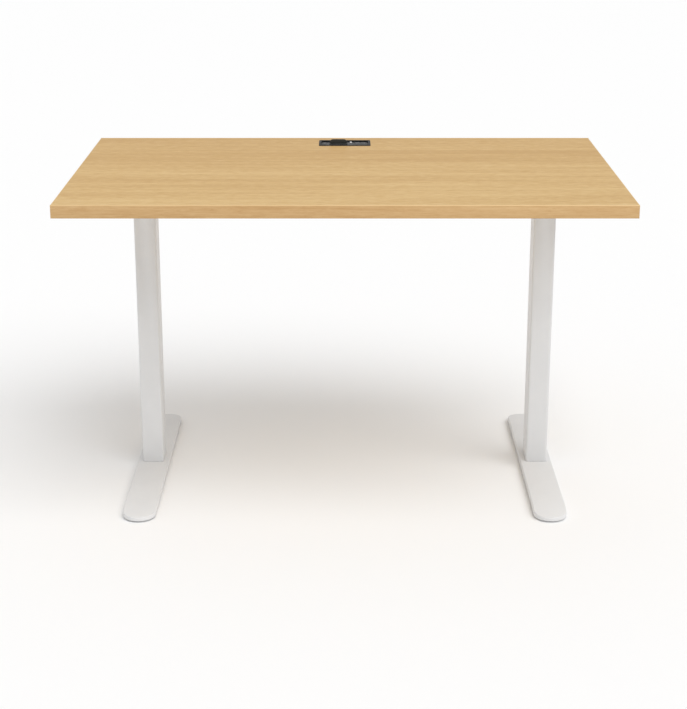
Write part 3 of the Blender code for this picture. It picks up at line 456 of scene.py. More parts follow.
def new_group(name: str, inputs: dict[str, tuple[str, object]], outputs: dict[str, str]) -> tuple[Tree, dict]:
    """An empty shader node group.

    Args:
        name: The group's name.
        inputs: Name to socket type and default value.
        outputs: Name to socket type.

    Returns:
        Its tree, and the sockets that stand for its inputs, by name.
    """
    group = bpy.data.node_groups.new(name, "ShaderNodeTree")
    for socket_name, (kind, value) in inputs.items():
        socket = group.interface.new_socket(socket_name, in_out="INPUT", socket_type=kind)
        if value is not None:
            socket.default_value = value
    for socket_name, kind in outputs.items():
        group.interface.new_socket(socket_name, in_out="OUTPUT", socket_type=kind)
    tree = Tree(group)
    entry = tree.add("NodeGroupInput")
    return tree, {socket_name: entry.outputs[socket_name] for socket_name in inputs}


def straight_grain_group() -> bpy.types.ShaderNodeTree:
    """Straight-grained wood print along X: wide leaves, soft streaks, fine fibres, short flecks and pores."""
    tree, given = new_group(
        "straight_grain",
        {"Vector": ("NodeSocketVector", None), "Leaf Width": ("NodeSocketFloat", 0.15),
         "Leaf Offset": ("NodeSocketFloat", 0.0)},
        {"Leaf": "NodeSocketFloat", "Streak": "NodeSocketFloat", "Fibre": "NodeSocketFloat",
         "Pore": "NodeSocketFloat", "Fleck": "NodeSocketFloat"})
    vector = given["Vector"]
    drift = tree.noise(tree.stretched(vector, (1.3, 0.6, 0.6)), 1.0, 2.0)
    apart = tree.add("ShaderNodeSeparateXYZ", {0: vector})
    sway = tree.math("MULTIPLY", tree.math("SUBTRACT", drift, 0.5), 0.012)
    across = tree.math("ADD", apart.outputs[1], sway)
    swayed = tree.add("ShaderNodeCombineXYZ", {0: apart.outputs[0], 1: across,
                                               2: apart.outputs[2]}).outputs[0]
    place = tree.math("DIVIDE", tree.math("ADD", apart.outputs[1], given["Leaf Offset"]), given["Leaf Width"])
    number = tree.math("FLOOR", place)
    leaf = tree.add("ShaderNodeTexWhiteNoise", {"W": number}, noise_dimensions="1D").outputs[0]
    shift = tree.add("ShaderNodeCombineXYZ", {0: tree.math("MULTIPLY", number, 3.7)}).outputs[0]
    moved = tree.add("ShaderNodeVectorMath", {0: swayed, 1: shift}, operation="ADD").outputs[0]
    broad = tree.noise(tree.stretched(moved, (1.1, 26.0, 26.0)), 1.0, 2.0, 0.5)
    narrow = tree.noise(tree.stretched(moved, (2.6, 150.0, 150.0)), 1.0, 4.0, 0.6)
    streak = tree.math("ADD", tree.math("MULTIPLY", broad, 0.55), tree.math("MULTIPLY", narrow, 0.45))
    fibre = tree.noise(tree.stretched(moved, (26.0, 420.0, 420.0)), 1.0, 3.0, 0.7)
    pore = tree.noise(tree.stretched(moved, (70.0, 900.0, 900.0)), 1.0, 1.0, 0.4)
    fleck = tree.noise(tree.stretched(moved, (48.0, 300.0, 300.0)), 1.0, 2.0, 0.6)
    tree.add("NodeGroupOutput", {
        "Leaf": leaf, "Streak": tree.span(streak, 0.30, 0.70), "Fibre": tree.span(fibre, 0.28, 0.72),
        "Pore": tree.span(pore, 0.66, 0.74), "Fleck": tree.span(fleck, 0.25, 0.75)})
    return tree.tree


def cloud_group() -> bpy.types.ShaderNodeTree:
    """Soft uneven clouds, for roughness and faint colour changes."""
    tree, given = new_group(
        "soft_cloud",
        {"Vector": ("NodeSocketVector", None), "Scale": ("NodeSocketFloat", 6.0),
         "Low": ("NodeSocketFloat", 0.0), "High": ("NodeSocketFloat", 1.0)},
        {"Value": "NodeSocketFloat"})
    value = tree.noise(given["Vector"], given["Scale"], 4.0, 0.6)
    tree.add("NodeGroupOutput", {"Value": tree.span(value, 0.30, 0.70, given["Low"], given["High"])})
    return tree.tree


def skin_group() -> bpy.types.ShaderNodeTree:
    """Fine relief of a sprayed or moulded skin, put out as a normal and as the height behind it."""
    tree, given = new_group(
        "fine_skin",
        {"Vector": ("NodeSocketVector", None), "Scale": ("NodeSocketFloat", 900.0),
         "Strength": ("NodeSocketFloat", 0.1), "Depth": ("NodeSocketFloat", 0.0001)},
        {"Normal": "NodeSocketVector", "Height": "NodeSocketFloat"})
    coarse = tree.noise(given["Vector"], given["Scale"], 2.0, 0.5)
    grit = tree.noise(given["Vector"], tree.math("MULTIPLY", given["Scale"], 4.3), 1.0, 0.5)
    height = tree.math("ADD", tree.math("MULTIPLY", coarse, 0.75), tree.math("MULTIPLY", grit, 0.25))
    bump = tree.add("ShaderNodeBump", {"Strength": given["Strength"], "Distance": given["Depth"],
                                       "Height": height})
    tree.add("NodeGroupOutput", {"Normal": bump.outputs[0], "Height": height})
    return tree.tree


class Groups:
    """The shared node groups, each built once."""

    def __init__(self) -> None:
        """Build every group."""
        self.grain = straight_grain_group()
        self.cloud = cloud_group()
        self.skin = skin_group()


class Dye:
    """A material under way: its tree, its shader and its object coordinates."""

    def __init__(self, name: str, groups: Groups) -> None:
        """Start a material with a Principled shader."""
        self.groups = groups
        self.material = bpy.data.materials.new(name)
        self.material.use_nodes = True
        self.tree = Tree(self.material.node_tree)
        self.shader = self.material.node_tree.nodes["Principled BSDF"]
        self.place = self.tree.add("ShaderNodeTexCoord").outputs["Object"]

    def fix(self, **constants: float) -> None:
        """Set plain numbers on the shader's own sockets."""
        for name, value in constants.items():
            self.shader.inputs[name.replace("_", " ")].default_value = value

    def feed(self, name: str, socket: bpy.types.NodeSocket) -> None:
        """Link a value, colour or normal that changes over the surface."""
        self.tree.tree.links.new(socket, self.shader.inputs[name])

    def group(self, tree: bpy.types.ShaderNodeTree, inputs: dict) -> bpy.types.Node:
        """Place a shared group."""
        node = self.tree.tree.nodes.new("ShaderNodeGroup")
        node.node_tree = tree
        for key, value in inputs.items():
            if isinstance(value, bpy.types.NodeSocket):
                self.tree.tree.links.new(value, node.inputs[key])
            else:
                node.inputs[key].default_value = value
        return node

    def cloud(self, scale: float, low: float, high: float) -> bpy.types.NodeSocket:
        """A soft cloud between two values."""
        return self.group(self.groups.cloud, {"Vector": self.place, "Scale": scale, "Low": low,
                                              "High": high}).outputs["Value"]

    def skin(self, scale: float, strength: float, depth: float) -> bpy.types.NodeSocket:
        """A fine relief's normal."""
        return self.group(self.groups.skin, {"Vector": self.place, "Scale": scale, "Strength": strength,
                                             "Depth": depth}).outputs["Normal"]


@dataclass(frozen=True)
class LaminateFinish:
    """Satin wood-print laminate, its grain along X, or along Y when turned.

    near and far are added to the print's tone at the front and at the rear edge; the top of an edge band can
    be lightened, a painted highlight on its rounded arris.
    """

    name: str = "laminate"
    dark: Colour = srgb(199, 158, 95)
    middle: Colour = srgb(213, 176, 114)
    light: Colour = srgb(226, 193, 134)
    pore: Colour = srgb(176, 132, 76)
    near: float = 0.0
    far: float = 0.0
    turned: bool = False
    leaf_width: float = 0.152
    leaf_offset: float = 0.085
    leaf_share: float = 0.22
    fibre_share: float = 0.30
    fleck_share: float = 0.22
    pore_share: float = 0.35
    reach: float = 0.38
    roughness: tuple[float, float] = (0.36, 0.50)
    specular: float = 0.25
    fibre_relief: float = 0.4
    relief_depth: float = 0.00008
    # Painted highlight: the height of the top face, and the lighter colour that an edge band is mixed towards
    # just below it, for the light caught by its rounded arris.
    arris_height: Optional[float] = None
    arris: Colour = srgb(233, 202, 150)

    def material(self, groups: Groups) -> bpy.types.Material:
        """Build the material.

        Args:
            groups: The shared node groups.

        Returns:
            The new material.
        """
        dye = Dye(self.name, groups)
        tree = dye.tree
        vector = dye.place
        if self.turned:
            quarter = (0.0, 0.0, math.pi / 2)
            vector = tree.add("ShaderNodeMapping", {"Vector": vector, "Rotation": quarter}).outputs[0]
        grain = dye.group(groups.grain, {"Vector": vector, "Leaf Width": self.leaf_width,
                                         "Leaf Offset": self.leaf_offset})
        leaf = tree.math("MULTIPLY", grain.outputs["Leaf"], self.leaf_share)
        fibre = tree.math("MULTIPLY", grain.outputs["Fibre"], self.fibre_share)
        streak = tree.math("MULTIPLY", grain.outputs["Streak"], 1.0 - self.leaf_share - self.fibre_share)
        fleck = tree.math("MULTIPLY", tree.math("SUBTRACT", grain.outputs["Fleck"], 0.5), self.fleck_share)
        tone = tree.math("ADD", tree.math("ADD", leaf, streak), tree.math("ADD", fibre, fleck))
        if self.near or self.far:
            depth = tree.add("ShaderNodeSeparateXYZ", {0: dye.place}).outputs[1]
            tone = tree.math("ADD", tone, tree.span(depth, -self.reach, self.reach, self.near, self.far))
        lower = tree.blend(tree.span(tone, 0.18, 0.50), self.dark, self.middle)
        colour = tree.blend(tree.span(tone, 0.48, 0.85), lower, self.light)
        pores = tree.math("MULTIPLY", grain.outputs["Pore"], self.pore_share)
        colour = tree.blend(pores, colour, self.pore)
        # Painted highlight: lighter towards the top face over the top 2.2 mm, for the light on the rounded
        # arris.
        if self.arris_height is not None:
            height = tree.add("ShaderNodeSeparateXYZ", {0: dye.place}).outputs[2]
            arris_highlight_mask = tree.span(height, self.arris_height - 0.0022, self.arris_height - 0.0010, 0.0, 0.75)
            colour = tree.blend(arris_highlight_mask, colour, self.arris)
        dye.feed("Base Color", colour)
        dye.shader.inputs["Specular IOR Level"].default_value = self.specular
        low, high = self.roughness
        dye.feed("Roughness", tree.span(grain.outputs["Fibre"], 0.0, 1.0, high, low))
        raised = tree.math("MULTIPLY", grain.outputs["Fibre"], self.fibre_relief)
        relief = tree.math("SUBTRACT", raised, grain.outputs["Pore"])
        bump = tree.add("ShaderNodeBump", {"Strength": 0.22, "Distance": self.relief_depth, "Height": relief})
        dye.feed("Normal", bump.outputs[0])
        return dye.material


@dataclass(frozen=True)
class SkinFinish:
    """A sprayed or moulded skin with a fine relief and soft uneven clouds."""

    name: str
    base: Colour
    shadow: Colour
    roughness: tuple[float, float]
    relief_scale: float
    relief: float
    relief_depth: float = 0.00006
    cloud_scale: float = 9.0
    metallic: float = 0.0
    coat: float = 0.0
    specular: float = 0.5

    def material(self, groups: Groups) -> bpy.types.Material:
        """Build the material.

        Args:
            groups: The shared node groups.

        Returns:
            The new material.
        """
        dye = Dye(self.name, groups)
        dye.fix(Metallic=self.metallic)
        dye.shader.inputs["Coat Weight"].default_value = self.coat
        dye.shader.inputs["Specular IOR Level"].default_value = self.specular
        dye.feed("Base Color", dye.tree.blend(dye.cloud(self.cloud_scale, 0.0, 1.0), self.base, self.shadow))
        dye.feed("Roughness", dye.cloud(self.cloud_scale * 3.1, *self.roughness))
        dye.feed("Normal", dye.skin(self.relief_scale, self.relief, self.relief_depth))
        return dye.material


@dataclass(frozen=True)
class ChipFinish:
    """Raw particle board: pressed chips of several tones."""

    name: str = "particle_board"
    light: Colour = srgb(206, 178, 136)
    dark: Colour = srgb(150, 112, 72)

    def material(self, groups: Groups) -> bpy.types.Material:
        """Build the material.

        Args:
            groups: The shared node groups.

        Returns:
            The new material.
        """
        dye = Dye(self.name, groups)
        tree = dye.tree
        chips = tree.add("ShaderNodeTexVoronoi", {"Vector": tree.stretched(dye.place, (1.0, 1.0, 3.0)),
                                                  "Scale": 420.0})
        tone = tree.add("ShaderNodeSeparateColor", {0: chips.outputs["Color"]}).outputs[0]
        dye.feed("Base Color", tree.blend(tone, self.light, self.dark))
        dye.feed("Roughness", dye.cloud(40.0, 0.75, 0.95))
        bump = tree.add("ShaderNodeBump", {"Strength": 0.5, "Distance": 0.0003,
                                           "Height": chips.outputs["Distance"]})
        dye.feed("Normal", bump.outputs[0])
        return dye.material


class Palette:
    """Every material of the desk, made once."""

    def __init__(self, top_height: float) -> None:
        """Build the materials.

        Args:
            top_height: Height of the worktop's top face, just below which the edge bands get a painted
                highlight.
        """
        groups = Groups()
        # The edge bands get a painted highlight along their top arris.
        edge = {"dark": srgb(192, 152, 102), "middle": srgb(202, 164, 114), "light": srgb(213, 178, 129),
                "leaf_width": 9.0, "leaf_share": 0.0, "fibre_share": 0.45, "arris_height": top_height}
        self.top = LaminateFinish("top_laminate", near=0.14, far=-0.28, fleck_share=0.50).material(groups)
        self.edge_long = LaminateFinish("edge_band_long", **edge).material(groups)
        self.edge_side = LaminateFinish("edge_band_side", turned=True, **edge).material(groups)
        self.backing = SkinFinish("backing_sheet", srgb(214, 188, 148), srgb(204, 177, 136), (0.5, 0.62),
                                  700.0, 0.12).material(groups)
        self.core = ChipFinish().material(groups)
        self.powder = SkinFinish("powder_coat", srgb(228, 228, 228), srgb(223, 223, 223), (0.34, 0.46),
                                 750.0, 0.14, 0.00010, specular=0.35).material(groups)
        self.nylon = SkinFinish("white_nylon", srgb(226, 226, 223), srgb(219, 219, 216), (0.42, 0.55),
                                1600.0, 0.10).material(groups)
        self.zinc = SkinFinish("zinc_plate", srgb(196, 199, 204), srgb(176, 178, 182), (0.22, 0.42),
                               1200.0, 0.10, cloud_scale=120.0, metallic=1.0).material(groups)
        self.motor = SkinFinish("motor_can", srgb(120, 122, 124), srgb(104, 105, 108), (0.30, 0.45),
                                900.0, 0.08, cloud_scale=60.0, metallic=1.0).material(groups)
        self.brass = SkinFinish("brass", srgb(204, 172, 104), srgb(186, 150, 84), (0.25, 0.40),
                                900.0, 0.06, cloud_scale=80.0, metallic=1.0).material(groups)
        self.black = SkinFinish("textured_black", srgb(32, 34, 36), srgb(26, 28, 30), (0.42, 0.55),
                                2300.0, 0.22, 0.00008, cloud_scale=30.0, specular=0.16).material(groups)
        self.gloss = SkinFinish("gloss_black", srgb(24, 25, 26), srgb(18, 19, 20), (0.16, 0.30),
                                500.0, 0.02, 0.00002, cloud_scale=45.0, specular=0.10).material(groups)
        self.lid = SkinFinish("satin_black", srgb(62, 63, 60), srgb(55, 56, 54), (0.30, 0.42),
                              900.0, 0.05, 0.00003, cloud_scale=45.0, specular=0.20).material(groups)
        self.button = SkinFinish("button_white", srgb(247, 247, 246), srgb(241, 241, 240), (0.16, 0.26),
                                 700.0, 0.03, cloud_scale=60.0).material(groups)
        self.port = SkinFinish("port_shell", srgb(214, 216, 219), srgb(200, 202, 205), (0.14, 0.26),
                               1500.0, 0.04, cloud_scale=200.0, metallic=1.0).material(groups)
        self.gold = SkinFinish("gold_contact", srgb(226, 188, 110), srgb(210, 170, 92), (0.18, 0.28),
                               1500.0, 0.03, cloud_scale=200.0, metallic=1.0).material(groups)
        self.mark = SkinFinish("printed_mark", srgb(214, 216, 216), srgb(206, 208, 208), (0.45, 0.55),
                               1500.0, 0.05).material(groups)


# ---- fasteners shared by the sub-assemblies ----

@dataclass
class ScrewPattern:
    """A pan-head wood screw with a cross recess, modelled once and copied."""

    head_radius: float = 0.0047
    head_height: float = 0.0028
    shank_radius: float = 0.0021
    shank_length: float = 0.012
    recess: float = 0.0046
    blade: float = 0.0009

    def build(self) -> bpy.types.Object:
        """Model the screw with the seat of its head at height 0, its head hanging down."""
        head = [(self.head_radius, 0.0), (self.head_radius, -self.head_height * 0.35)]
        steps = 5
        for step in range(1, steps + 1):
            angle = math.pi / 2 * step / steps
            radius = self.head_radius * (0.25 + 0.75 * math.cos(angle))
            head.append((radius, -self.head_height * (0.35 + 0.65 * math.sin(angle))))
        profile = [(self.shank_radius * 0.9, self.shank_length),
                   (self.shank_radius, self.shank_length - 0.001), (self.shank_radius, 0.0)] + head
        screw = turned("screw_pattern", profile, sides=24)
        low = -self.head_height - 0.001
        high = -self.head_height * 0.35
        half, wide = self.blade / 2, self.recess / 2
        cut(screw, box("blade_x", (-wide, -half, low), (wide, half, high)))
        cut(screw, box("blade_y", (-half, -wide, low), (half, wide, high)))
        return screw

    def place(self, pattern: bpy.types.Object, node: str, body: str, material: bpy.types.Material) -> None:
        """Copy the screw to where a CAD screw is."""
        low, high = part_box(node)
        seat = low.z + self.head_height
        middle = (low + high) / 2
        turn = math.radians(37.0 * (len(node) + ord(node[-1])))
        move = Matrix.Translation((middle.x, middle.y, seat)) @ Matrix.Rotation(turn, 4, "Z")
        hand_over(copy_of(pattern, node + "_head", move), body, Slot.ZINC, material, node)


# ---- worktop ----

@dataclass
class Worktop:
    """Laminated board with a thick edge band and the module's cut-out."""

    palette: Palette
    arris: float = 0.0019
    lower_arris: float = 0.0012
    band: float = 0.0024
    seam: float = 0.00012
    sheet: float = 0.0010
    cutout_inset: float = 0.0032
    body: str = "upper"

    def build(self) -> None:
        """Model every visible layer."""
        self.build_top_sheet()
        self.build_backing()
        self.build_band()
        dress_node("worktop_core", self.palette.core)

    def opening(self, name: str) -> bpy.types.Object:
        """A block the size of the module's cut-out."""
        low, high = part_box("module_rim")
        inset = self.cutout_inset
        return box(name, (low.x + inset, low.y + inset, low.z - 0.05),
                   (high.x - inset, high.y - inset, high.z + 0.05))

    def build_top_sheet(self) -> None:
        """Top laminate, from band to band."""
        low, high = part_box("worktop_edge_band")
        inset = self.band + self.seam
        sheet = box("top_sheet", (low.x + inset, low.y + inset, high.z - self.sheet),
                    (high.x - inset, high.y - inset, high.z))
        cut(sheet, self.opening("top_opening"))
        soften(sheet, 0.0001, 1, 60.0)
        hand_over(sheet, self.body, Slot.LAMINATE, self.palette.top, "worktop_laminate")

    def build_backing(self) -> None:
        """Plain sheet under the board."""
        low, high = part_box("worktop_edge_band")
        inset = self.band + self.seam
        sheet = box("backing_sheet", (low.x + inset, low.y + inset, low.z),
                    (high.x - inset, high.y - inset, low.z + self.sheet))
        cut(sheet, self.opening("backing_opening"))
        soften(sheet, 0.0001, 1, 60.0)
        hand_over(sheet, self.body, Slot.LAMINATE, self.palette.backing, "worktop_backing")

    def strip(self, name: str, low: Sequence[float], high: Sequence[float],
              outward: Vector) -> bpy.types.Object:
        """One strip of edge band, its outer arrises rounded.

        Args:
            name: The piece's name.
            low: Lowest corner.
            high: Highest corner.
            outward: The way its outer face looks.

        Returns:
            The strip.
        """
        strip = box(name, low, high)
        reach = max(abs(outward.dot(Vector(low))), abs(outward.dot(Vector(high))))
        for level, width in ((high[2], self.arris), (low[2], self.lower_arris)):
            with editing(strip):
                pick_edges(strip, lambda middle, along: abs(middle.z - level) < NEAR
                           and abs(outward.dot(middle) - reach) < NEAR)
                round_picked(width, 5)
        return soften(strip, 0.0003, 2, 70.0)

    def build_band(self) -> None:
        """Four strips: the front and rear ones run the whole width, the side ones fit between them."""
        low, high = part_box("worktop_edge_band")
        band = self.band
        gap = self.seam
        rows = (
            ("band_front", low, (high.x, low.y + band, high.z), Vector((0, -1, 0)), self.palette.edge_long),
            ("band_rear", (low.x, high.y - band, low.z), high, Vector((0, 1, 0)), self.palette.edge_long),
            ("band_left", (low.x, low.y + band + gap, low.z), (low.x + band, high.y - band - gap, high.z),
             Vector((-1, 0, 0)), self.palette.edge_side),
            ("band_right", (high.x - band, low.y + band + gap, low.z), (high.x, high.y - band - gap, high.z),
             Vector((1, 0, 0)), self.palette.edge_side),
        )
        for name, start, end, outward, material in rows:
            strip = self.strip(name, start, end, outward)
            hand_over(strip, self.body, Slot.LAMINATE, material, "worktop_edge_band")


# ---- one leg ----

@dataclass
class Leg:
    """A telescopic T-leg: foot, glides, two tubes, their collar and the top bracket."""

    side: Side
    palette: Palette
    toe_length: float = 0.065
    toe_fall: float = 0.007
    foot_wall: float = 0.0032
    foot_hollow: float = 0.500
    foot_edge: float = 0.0018
    outer_corner: float = 0.0050
    wall: float = 0.0016
    inner_corner: float = 0.0034
    bracket_sheet: float = 0.0025
    bracket_end: float = 0.066
    bracket_corner: float = 0.010
    bracket_rings: int = 14
    skirt_end: float = 0.006
    cable_hole: float = 0.010
    screw_hole: float = 0.0024
    peg_radius: float = 0.0024
    peg_drop: float = 0.018
    peg_spacing: float = 0.034
    hexagon: float = 0.0029

    def node(self, name: str) -> str:
        """A CAD node of this leg."""
        return self.side.value + "_" + name

    @property
    def base(self) -> str:
        """The body that stands on the floor."""
        return self.side.value + "_base"

    @property
    def centre(self) -> Vector:
        """The column's middle."""
        low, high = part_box(self.node("outer_tube"))
        return (low + high) / 2

    def build(self) -> None:
        """Model the leg's visible pieces and dress the hidden ones."""
        self.build_foot()
        self.build_outer_tube()
        self.build_collar()
        self.build_inner_tube()
        self.build_bracket()
        for end in ("front", "rear"):
            self.build_glide(end)
            self.build_bolt(end)
        for name in ("base_plate", "nut_tube", "spindle"):
            dress_node(self.node(name), self.palette.zinc)
        for name in ("gearbox", "motor"):
            dress_node(self.node(name), self.palette.motor)
        dress_node(self.node("spindle_nut"), self.palette.brass)
        dress_node(self.node("lower_slider"), self.palette.nylon)

    def build_foot(self) -> None:
        """Flat stadium with sloping toes, hollow underneath."""
        low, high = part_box(self.node("foot"))
        middle = (low + high) / 2
        radius = (high.x - low.x) / 2
        foot = slab(self.node("foot_shell"), low, high, radius - 0.0002, 18)
        line = (high.y - low.y) / 2 - self.toe_length
        for end in (-1, 1):
            with editing(foot):
                bpy.ops.mesh.select_all(action="SELECT")
                normal = Vector((0.0, end * self.toe_fall, self.toe_length)).normalized()
                bpy.ops.mesh.bisect(plane_co=(middle.x, middle.y + end * line, high.z), plane_no=normal,
                                    use_fill=True, clear_outer=True)
        with editing(foot):
            bpy.ops.mesh.select_all(action="SELECT")
            bpy.ops.mesh.remove_doubles(threshold=0.00001)
            bpy.ops.mesh.normals_make_consistent(inside=False)
        soften(foot, self.foot_edge, 4, 30.0)
        half = self.foot_hollow / 2
        hollow = slab("foot_hollow", (low.x + self.foot_wall, middle.y - half, low.z - 0.01),
                      (high.x - self.foot_wall, middle.y + half, high.z - self.foot_wall), 0.008, 6)
        cut(foot, hollow)
        hand_over(foot, self.base, Slot.POWDER, self.palette.powder, self.node("foot"))

    def pegs(self, radius: float, reach: float) -> list[bpy.types.Object]:
        """Round pegs through the tube's walls, each with a domed end.

        Args:
            radius: Their radius.
            reach: How far their ends stand from the tube's outer face, inwards if negative.

        Returns:
            The pegs, as separate shapes.
        """
        low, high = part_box(self.node("outer_tube"))
        level = high.z - self.peg_drop
        middle = self.centre
        inside = 0.0028
        apart = (-self.peg_spacing / 2, self.peg_spacing / 2)
        rows = [(Axis.RIGHT, (high.x, middle.y + y, level)) for y in apart]
        rows += [(Axis.LEFT, (low.x, middle.y + y, level)) for y in apart]
        rows += [(Axis.FRONT, (middle.x, low.y, level)), (Axis.REAR, (middle.x, high.y, level))]
        made = []
        for number, (axis, place) in enumerate(rows):
            profile = [(radius, -inside), (radius, reach - 0.0003), (radius * 0.86, reach),
                       (radius * 0.3, reach)]
            made.append(turned("peg_" + str(number), profile, place, axis, 20))
        return made

    def build_outer_tube(self) -> None:
        """Outer tube with round corners and the holes that its collar's pegs sit in."""
        low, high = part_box(self.node("outer_tube"))
        tube = sleeve(self.node("outer_sleeve"), low, high, self.outer_corner, self.wall)
        cut(tube, *self.pegs(self.peg_radius + 0.0002, 0.004))
        hand_over(tube, self.base, Slot.POWDER, self.palette.powder, self.node("outer_tube"))

    def build_collar(self) -> None:
        """Bevelled collar on the outer tube, its thin skirt and its pegs."""
        low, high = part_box(self.node("guide_collar"))
        inner_low, inner_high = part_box(self.node("inner_tube"))
        tube_low, tube_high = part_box(self.node("outer_tube"))
        head = slab(self.node("collar"), (low.x, low.y, tube_high.z + 0.0001), high, self.outer_corner)
        soften(head, 0.0009, 3, 60.0)
        skirt_wall = self.wall + CLEAR
        skirt = slab("collar_skirt", (tube_low.x + skirt_wall, tube_low.y + skirt_wall, low.z),
                     (tube_high.x - skirt_wall, tube_high.y - skirt_wall, tube_high.z + 0.001),
                     self.inner_corner)
        merge(head, skirt)
        bore = slab("collar_bore", (inner_low.x - CLEAR, inner_low.y - CLEAR, low.z - 0.01),
                    (inner_high.x + CLEAR, inner_high.y + CLEAR, high.z + 0.01), self.inner_corner)
        cut(head, bore)
        merge(head, *self.pegs(self.peg_radius, -0.0001))
        hand_over(head, self.base, Slot.NYLON, self.palette.nylon, self.node("guide_collar"))

    def build_inner_tube(self) -> None:
        """Inner tube, which rises with the worktop."""
        low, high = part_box(self.node("inner_tube"))
        tube = sleeve(self.node("inner_sleeve"), low, high, self.inner_corner, self.wall)
        hand_over(tube, "upper", Slot.POWDER, self.palette.powder, self.node("inner_tube"))

    def build_bracket(self) -> None:
        """Pressed bracket: a long bowed plate with a turned-down skirt, deepest at the column."""
        low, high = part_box(self.node("top_bracket"))
        middle = (low + high) / 2
        half = (high.y - low.y) / 2
        column_low, column_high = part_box(self.node("outer_tube"))
        column_half = (column_high.y - column_low.y) / 2
        bracket = box(self.node("bracket"), low, high)
        rings = [-half + 2 * half * step / self.bracket_rings for step in range(self.bracket_rings + 1)]
        full = (high.x - low.x) / 2
        with editing(bracket):
            for ring in rings[1:-1]:
                bpy.ops.mesh.select_all(action="SELECT")
                bpy.ops.mesh.bisect(plane_co=(0.0, middle.y + ring, 0.0), plane_no=(0.0, 1.0, 0.0))
            for ring in rings:
                pick_points(bracket, lambda co: abs(co.y - middle.y - ring) < 1e-4)
                factor = self.half_width(ring, half, full) / full
                bpy.ops.transform.resize(value=(factor, 1.0, 1.0), center_override=middle)
            pick_edges(bracket, lambda at, along: abs(along.z) > 0.99 and abs(at.y - middle.y) > half - 1e-4)
            round_picked(self.bracket_corner, 6)
        levels = sorted({round(vert.co.y, 5) for vert in bracket.data.vertices})
        with editing(bracket):
            for level in levels:
                away = max(0.0, abs(level - middle.y) - column_half)
                rise = (high.z - low.z - self.skirt_end) * away / (half - column_half)
                pick_points(bracket, lambda co: abs(co.y - level) < 2e-5 and co.z < middle.z)
                bpy.ops.transform.translate(value=(0.0, 0.0, rise))
            pick_faces(bracket, lambda centre, normal: normal.z < -0.5)
            bpy.ops.mesh.delete(type="FACE")
        soften(bracket, 0.0016, 4, 60.0)
        apply(bracket, "SOLIDIFY", thickness=self.bracket_sheet, offset=-1.0, use_even_offset=True,
              use_rim=True)
        hole = turned("cable_hole", [(self.cable_hole, -0.02), (self.cable_hole, 0.02)],
                      (middle.x, self.centre.y, high.z), sides=40)
        cut(bracket, hole)
        for number in range(1, 5):
            screw_low, screw_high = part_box(self.node("bracket_screw_" + str(number)))
            place = (screw_low + screw_high) / 2
            drill = turned("screw_hole", [(self.screw_hole, -0.02), (self.screw_hole, 0.02)],
                           (place.x, place.y, high.z), sides=20)
            cut(bracket, drill)
        hand_over(bracket, "upper", Slot.POWDER, self.palette.powder, self.node("top_bracket"))

    def half_width(self, along: float, half: float, full: float) -> float:
        """Half the bracket's width at a distance from its middle: one long bow on each side."""
        sagitta = full - self.bracket_end / 2
        bow = (half ** 2 + sagitta ** 2) / (2 * sagitta)
        return full - bow + math.sqrt(bow ** 2 - along ** 2)

    def build_glide(self, end: str) -> None:
        """Levelling glide: a ribbed disc on a stem."""
        low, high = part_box(self.node("glide_" + end))
        middle = (low + high) / 2
        radius = (high.x - low.x) / 2
        disc = 0.0030
        stem = 0.0039
        profile = [(radius * 0.5, 0.0), (radius - 0.0009, 0.0), (radius - 0.0003, 0.0003), (radius, 0.0009),
                   (radius, disc - 0.0008), (radius - 0.0008, disc), (stem, disc), (stem, high.z - low.z)]
        glide = turned(self.node("glide_" + end + "_disc"), profile, (middle.x, middle.y, low.z), sides=48)
        notches = 12
        for number in range(notches):
            angle = math.tau * number / notches
            away = radius + 0.0011
            place = (middle.x + away * math.cos(angle), middle.y + away * math.sin(angle), low.z)
            cut(glide, turned("notch", [(0.0019, -0.001), (0.0019, disc + 0.001)], place, sides=12))
        body = self.side.value + "_" + end + "_glide"
        hand_over(glide, body, Slot.NYLON, self.palette.nylon, self.node("glide_" + end))

    def build_bolt(self, end: str) -> None:
        """Foot bolt with a hexagon socket in its head."""
        low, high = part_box(self.node("foot_bolt_" + end))
        middle = (low + high) / 2
        head = (high.x - low.x) / 2
        thick = 0.0045
        shank = 0.0039
        length = high.z - low.z
        profile = [(head - 0.0014, 0.0), (head - 0.0004, 0.0005), (head, 0.0014), (head, thick),
                   (shank, thick), (shank, length - 0.0008), (shank - 0.0006, length)]
        bolt = turned(self.node("foot_bolt_" + end + "_hex"), profile, (middle.x, middle.y, low.z), sides=36)
        socket = turned("hex_socket", [(self.hexagon, -0.001), (self.hexagon, 0.0030)],
                        (middle.x, middle.y, low.z), sides=6)
        cut(bolt, socket)
        hand_over(bolt, self.base, Slot.ZINC, self.palette.zinc, self.node("foot_bolt_" + end))


# ---- control box ----

